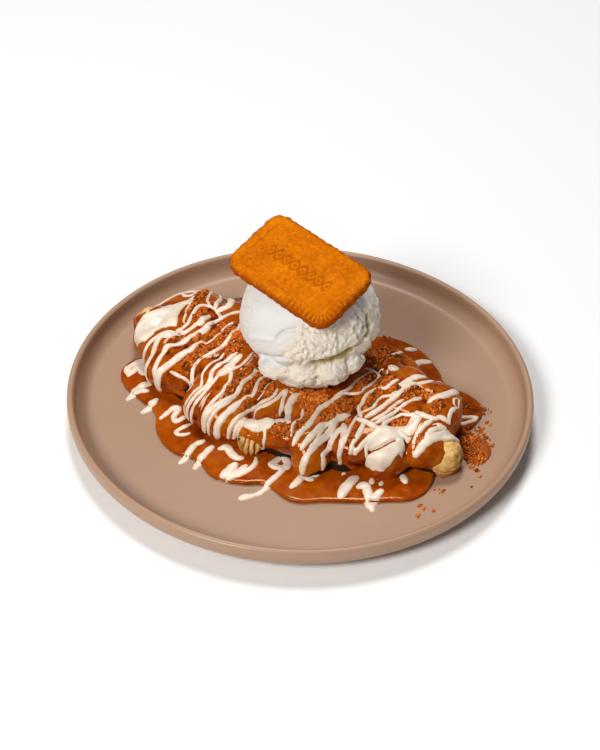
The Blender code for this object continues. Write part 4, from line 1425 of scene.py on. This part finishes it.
class CROFFLE_OT_ice_cream(bpy.types.Operator):
    """Scoop the ice cream"""

    bl_idname = "croffle.ice_cream"
    bl_label = "Ice Cream"

    def execute(self, context):
        made = context.scene.croffle.ice_cream
        noise.seed_set(made.seed)  # without it noise_vector takes its offsets from the clock
        bm = scoop_shape(made.detail)
        sink, tint = clefts(coordinates(bm))
        middle = Vector(SCOOP_LUMPS[0][0]) * MM
        torn = [torn_share((vert.co - middle).normalized()) for vert in bm.verts]
        heights = [torn_height(vert.co, share) - depth for vert, share, depth in zip(bm.verts, torn, sink)]
        bm.normal_update()
        shift(bm, [vert.normal * height for vert, height in zip(bm.verts, heights)])
        flatten_under_biscuit(bm, context.scene.croffle.biscuit)
        bmesh.ops.smooth_vert(
            bm, verts=bm.verts, factor=0.15, use_axis_x=True, use_axis_y=True, use_axis_z=True
        )
        bm.normal_update()
        keep_values(bm, "tint", tint)
        keep_values(bm, "torn", torn)
        cream = ice_cream_finish(made)
        finished_piece("ice_cream_scoop", bm, cream, stands_for="ice_cream")
        return {"FINISHED"}


def ice_cream_finish(made):
    finish = Finish("vanilla_ice_cream")
    torn, tint = finish.attribute("torn"), finish.attribute("tint")
    cloud = finish.noise(0.012, 3, 0.5)
    fine = finish.noise(0.0009, 3, 0.65)
    middling = finish.noise(0.003, 3, 0.6)
    colour = finish.mix(cloud, shaded(made.cream, 0.97), shaded(made.cream, 1.03))
    colour = finish.mix(torn * 0.9, colour, made.torn)
    colour = finish.mix(finish.step(tint - middling * 0.9 + 0.45, 0.25, 0.8, 0.0, 0.95), colour, made.cleft)
    broken = finish.bump(middling * torn, 0.45, 0.0018)
    return finish.shade({
        "Base Color": colour,
        "Roughness": finish.step(torn, 0.0, 1.0, 0.44, 0.55),
        "Specular IOR Level": 0.35,
        "Subsurface Weight": 0.14,
        "Subsurface Radius": (1.0, 0.85, 0.65),
        "Subsurface Scale": 0.0015,
        "Normal": finish.bump(fine * (0.2 + 0.8 * torn), 0.5, 0.0008, broken),
    })


# Biscuit

def biscuit_place():
    """Where the biscuit lies, tilted on the scoop."""
    lean, towards, turn = math.radians(19), math.radians(246), math.radians(-43)
    sideways = math.sin(lean)
    normal = Vector((sideways * math.cos(towards), sideways * math.sin(towards), math.cos(lean)))
    heading = Vector((math.cos(turn), math.sin(turn), 0))
    length_way = (heading - normal * heading.dot(normal)).normalized()
    low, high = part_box("biscuit")
    centre = Vector((-1.6 * MM, -2 * MM, (low.z + high.z) / 2))
    axes = Matrix((length_way, normal.cross(length_way), normal)).transposed().to_4x4()
    return Matrix.Translation(centre) @ axes


def edge_distance(x, y, half_x, half_y, corner):
    """How far inside a rounded rectangle a point is, and the way round it, both in metres."""
    ax, ay = abs(x) - (half_x - corner), abs(y) - (half_y - corner)
    if ax > 0 and ay > 0:
        depth = corner - math.hypot(ax, ay)
        round_corner = math.atan2(ay, ax) * corner
        way = (half_y - corner) + round_corner
    elif ax > ay:
        depth, way = corner - ax, abs(y)
    else:
        depth = corner - ay
        way = (half_y - corner) + corner * math.pi / 2 + (half_x - corner - abs(x))
    return depth, way


def biscuit_slab(made):
    """A plain slab with round corners and soft rims."""
    bm = bmesh.new()
    bmesh.ops.create_cube(bm, size=1, matrix=Matrix.Diagonal((made.length, made.width, made.thickness, 1)))

    def rounded(edges, offset, segments):
        bmesh.ops.bevel(
            bm, geom=edges, offset=offset, offset_type="OFFSET", segments=segments, profile=0.5,
            affect="EDGES", material=-1,
        )

    def drop(edge):
        return abs(edge.verts[0].co.z - edge.verts[1].co.z)

    rounded([edge for edge in bm.edges if drop(edge) > made.thickness / 2], made.corner, 10)
    rounded([edge for edge in bm.edges if drop(edge) < 1e-6], 2.3 * MM, 5)
    return fused(bm, made.detail, 3)


def lozenges(along, across):
    """A row of small lozenges along the middle, each with an eye: 1 on their lines and 0 between."""
    if abs(along) >= LOZENGE_REACH:
        return 0.0
    fade_out = clamp((LOZENGE_REACH - abs(along)) / 2)
    swing = 2.6 * math.sin(2 * math.pi * along / LOZENGE_PITCH)
    line = max(bell((across - swing) / 0.62), bell((across + swing) / 0.62))
    half_pitch = LOZENGE_PITCH / 2
    eye = (along / half_pitch - 0.5) - round(along / half_pitch - 0.5)
    dot = math.exp(-((eye * half_pitch / 0.7) ** 2) - (across / 0.7) ** 2)
    return max(line * fade_out, dot * fade_out)


def biscuit_relief(place, normal, made, pace):
    """How far a point of the slab moves to make flutes, ribs and lozenges, and how toasted it is."""
    half_x, half_y = made.length / 2, made.width / 2
    depth, way = edge_distance(place.x, place.y, half_x, half_y, made.corner)
    depth, way = depth / MM, way / pace
    face_up = max(0.0, normal.z)
    side = 1 - abs(normal.z)

    uneven = 0.9 + 0.9 * noise.noise(place.xy.to_3d() / 0.006)
    flute = made.flute_depth * uneven * (abs(math.sin(math.pi * way)) - 0.75) * side

    near_corner = clamp((place.x / half_x - 0.8 * place.y / half_y) / 0.9 - 0.75)
    patchy = 0.5 + 0.5 * noise.noise(place / 0.009)
    ribs = (math.cos(2 * math.pi * 1.6 * way) * 0.5 + 0.5) ** 1.5 * (0.45 * patchy + 1.3 * near_corner)
    fade = clamp((depth - 0.4) / 1.0) * clamp((5.6 - depth) / 1.0)
    ornament = lozenges(place.x / MM, place.y / MM) if depth > 7 else 0.0
    height = -made.rib_depth * ribs * fade
    height -= (0.4 + 0.35 * patchy) * bell((depth - 6.2) / 0.8) * MM
    height -= face_up * 0.25 * MM * clamp((depth - 5.6) / 0.8)
    height -= face_up * 0.75 * MM * ornament * (0.6 + 0.6 * patchy)

    lumpy = 0.38 * MM * rough(place, 5 * MM, 3)
    grain = 0.12 * MM * rough(place, 1.6 * MM, 2)
    pits = max(0.0, rough(place + Vector((1, 2, 3)), 2.6 * MM, 2) - 0.35) * -0.5 * MM
    move = Vector((normal.x, normal.y, 0)) * flute + Vector((0, 0, 1)) * height * face_up
    move += normal * (lumpy + grain + pits)

    browned = 0.7 * max(0.0, 1 - max(depth, 0) / 3.2) + 0.8 * ornament * face_up
    return move, min(1.0, browned + 0.6 * ribs * fade + 0.8 * (1 - face_up) * side)


class CROFFLE_OT_biscuit(bpy.types.Operator):
    """Bake the fluted biscuit"""

    bl_idname = "croffle.biscuit"
    bl_label = "Biscuit"

    def execute(self, context):
        made = context.scene.croffle.biscuit
        girth = 2 * (made.length + made.width) - 8 * made.corner + 2 * math.pi * made.corner
        pace = girth / (round(girth / made.flute_pitch / 4) * 4)
        bm = biscuit_slab(made)
        relief = [biscuit_relief(vert.co, vert.normal, made, pace) for vert in bm.verts]
        shift(bm, [move for move, _ in relief])
        keep_values(bm, "toast", [toast for _, toast in relief])
        bm.transform(biscuit_place())
        baked = biscuit_finish(made)
        finished_piece("biscuit_baked", bm, baked, stands_for="biscuit")
        return {"FINISHED"}


def biscuit_finish(made):
    finish = Finish("caramelised_biscuit")
    toast = finish.attribute("toast")
    cloud = finish.noise(0.011, 4, 0.6)
    grain = finish.noise(0.0019, 4, 0.75)
    speck = finish.step(finish.cells(0.0026), 0.05, 0.3, 1.0, 0.0)
    sugar = finish.step(finish.cells(0.0034), 0.04, 0.2, 1.0, 0.0)
    tone = finish.ramp(cloud * 0.4 + grain * 0.6, (
        (0.34, shaded(made.colour, 0.72)),
        (0.50, made.colour),
        (0.66, tinted(made.colour, (1.25, 1.55, 3.0))),
    ))
    colour = finish.mix(finish.step(toast, 0.1, 1.0, 0.0, 0.85), tone, made.edge)
    colour = finish.mix(speck * 0.35, colour, shaded(made.edge, 0.8))
    colour = finish.mix(sugar * 0.45, colour, (0.85, 0.36, 0.05))
    return finish.shade({
        "Base Color": colour,
        "Roughness": finish.step(grain, 0.3, 0.7, 0.5, 0.7),
        "Specular IOR Level": 0.03,
        "Normal": finish.bump(grain, 0.55, 0.0009, finish.bump(cloud, 0.2, 0.002)),
    })


# Stage

def lamp(name, place, size, power, colour):
    """A round soft light, turned towards the food."""
    data = bpy.data.lights.new(name, "AREA")
    data.shape = "DISK"
    data.size, data.energy, data.color = size, power, colour
    obj = bpy.data.objects.new(name, data)
    obj.location = place
    obj.rotation_euler = (Vector(place) - Vector((0, 0, 0.03))).to_track_quat("Z", "Y").to_euler()
    bpy.context.scene.collection.objects.link(obj)


def camera_view():
    """The camera's place and its level, rise and back directions, rolled a little."""
    pitch, roll = math.radians(40.39), math.radians(1.38)
    back = Vector((0, -math.cos(pitch), math.sin(pitch)))
    level = Vector((1, 0, 0))
    rise = level.cross(-back)
    right = math.cos(roll) * level + math.sin(roll) * rise
    up = math.cos(roll) * rise - math.sin(roll) * level
    axes = Matrix((right, up, back)).transposed().to_4x4()
    return Matrix.Translation((-0.0004, -0.5740, 0.5087)) @ axes


class CROFFLE_OT_stage(bpy.types.Operator):
    """Set the pale floor, the soft studio light and the camera"""

    bl_idname = "croffle.stage"
    bl_label = "Stage"

    def execute(self, context):
        made = context.scene.croffle.stage
        scene = context.scene
        bm = bmesh.new()
        bmesh.ops.create_grid(bm, x_segments=1, y_segments=1, size=3)
        floor = bpy.data.objects.new("floor", as_mesh("floor", bm))
        scene.collection.objects.link(floor)
        paper = Finish("pale_floor")
        sockets = {"Base Color": made.floor, "Roughness": 0.85, "Specular IOR Level": 0.1}
        floor.data.materials.append(paper.shade(sockets))

        lamp("key", (-0.74, -1.02, 1.14), 0.55, made.key, (1.0, 0.985, 0.96))
        lamp("back_light", (-0.03, 0.60, 1.55), 0.50, made.back, (1.0, 0.99, 0.98))
        world = bpy.data.worlds.new("studio")
        scene.world = world
        world.use_nodes = True
        background = world.node_tree.nodes["Background"].inputs
        background["Color"].default_value = (1, 1, 1, 1)
        background["Strength"].default_value = made.surround

        camera = bpy.data.cameras.new("camera")
        camera.lens = 76.8
        camera.clip_start = 0.01
        eye = bpy.data.objects.new("camera", camera)
        eye.matrix_world = camera_view()
        scene.collection.objects.link(eye)
        scene.camera = eye
        scene.view_settings.view_transform = "Standard"
        return {"FINISHED"}


# Settings

def colour_property(name, description, default):
    return FloatVectorProperty(
        name=name, description=description, default=default, subtype="COLOR", size=3, min=0, max=1
    )


def number_property(name, description, default, **settings):
    return FloatProperty(name=name, description=description, default=default, min=0, **settings)


def length_property(name, description, default):
    return number_property(name, description, default, unit="LENGTH", precision=4)


class PlateSettings(bpy.types.PropertyGroup):
    radius: length_property("Radius", "Half the plate's width", 0.110)
    height: length_property("Height", "Height of the lip above the table", 0.0155)
    lip: length_property("Lip", "Thickness of the rounded lip", 0.0033)
    steps: IntProperty(name="Steps", description="Divisions round the plate", default=192, min=24)
    glaze: colour_property("Glaze", "Colour of the matte glaze", (0.402, 0.246, 0.158))


class PastrySettings(bpy.types.PropertyGroup):
    dough: colour_property("Dough", "Colour of the baked dough", (0.74, 0.45, 0.155))
    caramel: colour_property("Caramel", "Colour of the caramel sauce", (0.35, 0.054, 0.0005))
    coat: length_property("Coat", "Thickness of the sauce on the pastry", 0.0006)


class MilkSettings(bpy.types.PropertyGroup):
    milk: colour_property("Milk", "Colour of the milk sauce", (0.84, 0.705, 0.57))
    thin: colour_property("Thin", "Colour where the milk sauce is thin over the caramel", (0.66, 0.37, 0.19))
    detail: length_property("Detail", "Spacing of the points that shape the strands", 0.00055)


class CrumbSettings(bpy.types.PropertyGroup):
    colour: colour_property("Colour", "Middle colour of the crumbs", (0.57, 0.124, 0.008))
    smallest: length_property("Smallest", "Radius of the finest crumbs", 0.00035)
    largest: length_property("Largest", "Radius of the coarsest crumbs", 0.00105)
    density: number_property("Density", "Crumbs to the square millimetre", 3.1)
    seed: IntProperty(name="Seed", description="Changes how the crumbs fall", default=11)


class IceCreamSettings(bpy.types.PropertyGroup):
    cream: colour_property("Cream", "Colour of the ice cream", (0.74, 0.725, 0.70))
    torn: colour_property("Torn", "Colour where the scoop has torn", (0.86, 0.775, 0.645))
    cleft: colour_property("Cleft", "Colour deep in the clefts", (0.46, 0.34, 0.09))
    detail: length_property("Detail", "Spacing of the points that shape the scoop", 0.0005)
    seed: IntProperty(name="Seed", description="Changes how the torn side breaks", default=1, min=1)


class BiscuitSettings(bpy.types.PropertyGroup):
    length: length_property("Length", "Length of the biscuit", 0.0605)
    width: length_property("Width", "Width of the biscuit", 0.0375)
    thickness: length_property("Thickness", "Thickness of the biscuit", 0.0058)
    corner: length_property("Corner", "Radius of its corners", 0.008)
    flute_pitch: length_property("Flute Pitch", "Distance from flute to flute round the edge", 0.0042)
    flute_depth: length_property("Flute Depth", "Depth of the flutes", 0.0008)
    rib_depth: length_property("Rib Depth", "Depth of the ribs on the border", 0.0007)
    detail: length_property("Detail", "Spacing of the points that shape the biscuit", 0.0004)
    colour: colour_property("Colour", "Colour of the baked face", (0.62, 0.152, 0.0004))
    edge: colour_property("Edge", "Colour where it has browned most", (0.31, 0.052, 0.0005))


class StageSettings(bpy.types.PropertyGroup):
    floor: colour_property("Floor", "Colour of the floor", (0.97, 0.97, 0.97))
    key: number_property("Key Light", "Power of the key light", 21.5, unit="POWER")
    back: number_property("Back Light", "Power of the light behind", 15.0, unit="POWER")
    surround: number_property("Surround", "Strength of the light from all round", 0.10)


class CroffleSettings(bpy.types.PropertyGroup):
    plate: PointerProperty(type=PlateSettings)
    pastry: PointerProperty(type=PastrySettings)
    milk: PointerProperty(type=MilkSettings)
    crumb: PointerProperty(type=CrumbSettings)
    ice_cream: PointerProperty(type=IceCreamSettings)
    biscuit: PointerProperty(type=BiscuitSettings)
    stage: PointerProperty(type=StageSettings)


OPERATORS = (
    CROFFLE_OT_plate,
    CROFFLE_OT_pastry,
    CROFFLE_OT_pool,
    CROFFLE_OT_drizzle,
    CROFFLE_OT_crumbs,
    CROFFLE_OT_ice_cream,
    CROFFLE_OT_biscuit,
    CROFFLE_OT_stage,
)


class CROFFLE_PT_pieces(bpy.types.Panel):
    """The dessert's pieces and their settings"""

    bl_idname = "CROFFLE_PT_pieces"
    bl_label = "Plated Croffle"
    bl_space_type = "VIEW_3D"
    bl_region_type = "UI"
    bl_category = "Croffle"

    def draw(self, context):
        for operator in OPERATORS:
            self.layout.operator(operator.bl_idname)
        for group in context.scene.croffle.bl_rna.properties:
            if group.type != "POINTER" or group.identifier == "rna_type":
                continue
            box = self.layout.box()
            box.label(text=group.identifier.replace("_", " ").title())
            values = getattr(context.scene.croffle, group.identifier)
            for value in values.bl_rna.properties:
                if value.identifier not in ("rna_type", "name"):
                    box.prop(values, value.identifier)


CLASSES = (
    PlateSettings, PastrySettings, MilkSettings, CrumbSettings, IceCreamSettings, BiscuitSettings,
    StageSettings, CroffleSettings, *OPERATORS, CROFFLE_PT_pieces,
)


def register():
    for item in CLASSES:
        bpy.utils.register_class(item)
    bpy.types.Scene.croffle = PointerProperty(type=CroffleSettings)


def unregister():
    del bpy.types.Scene.croffle
    for item in reversed(CLASSES):
        bpy.utils.unregister_class(item)


def main():
    register()
    bpy.ops.croffle.plate()
    bpy.ops.croffle.pastry()
    bpy.ops.croffle.pool()
    bpy.ops.croffle.drizzle()
    bpy.ops.croffle.crumbs()
    bpy.ops.croffle.ice_cream()
    bpy.ops.croffle.biscuit()
    bpy.ops.croffle.stage()


if __name__ == "__main__":
    main()
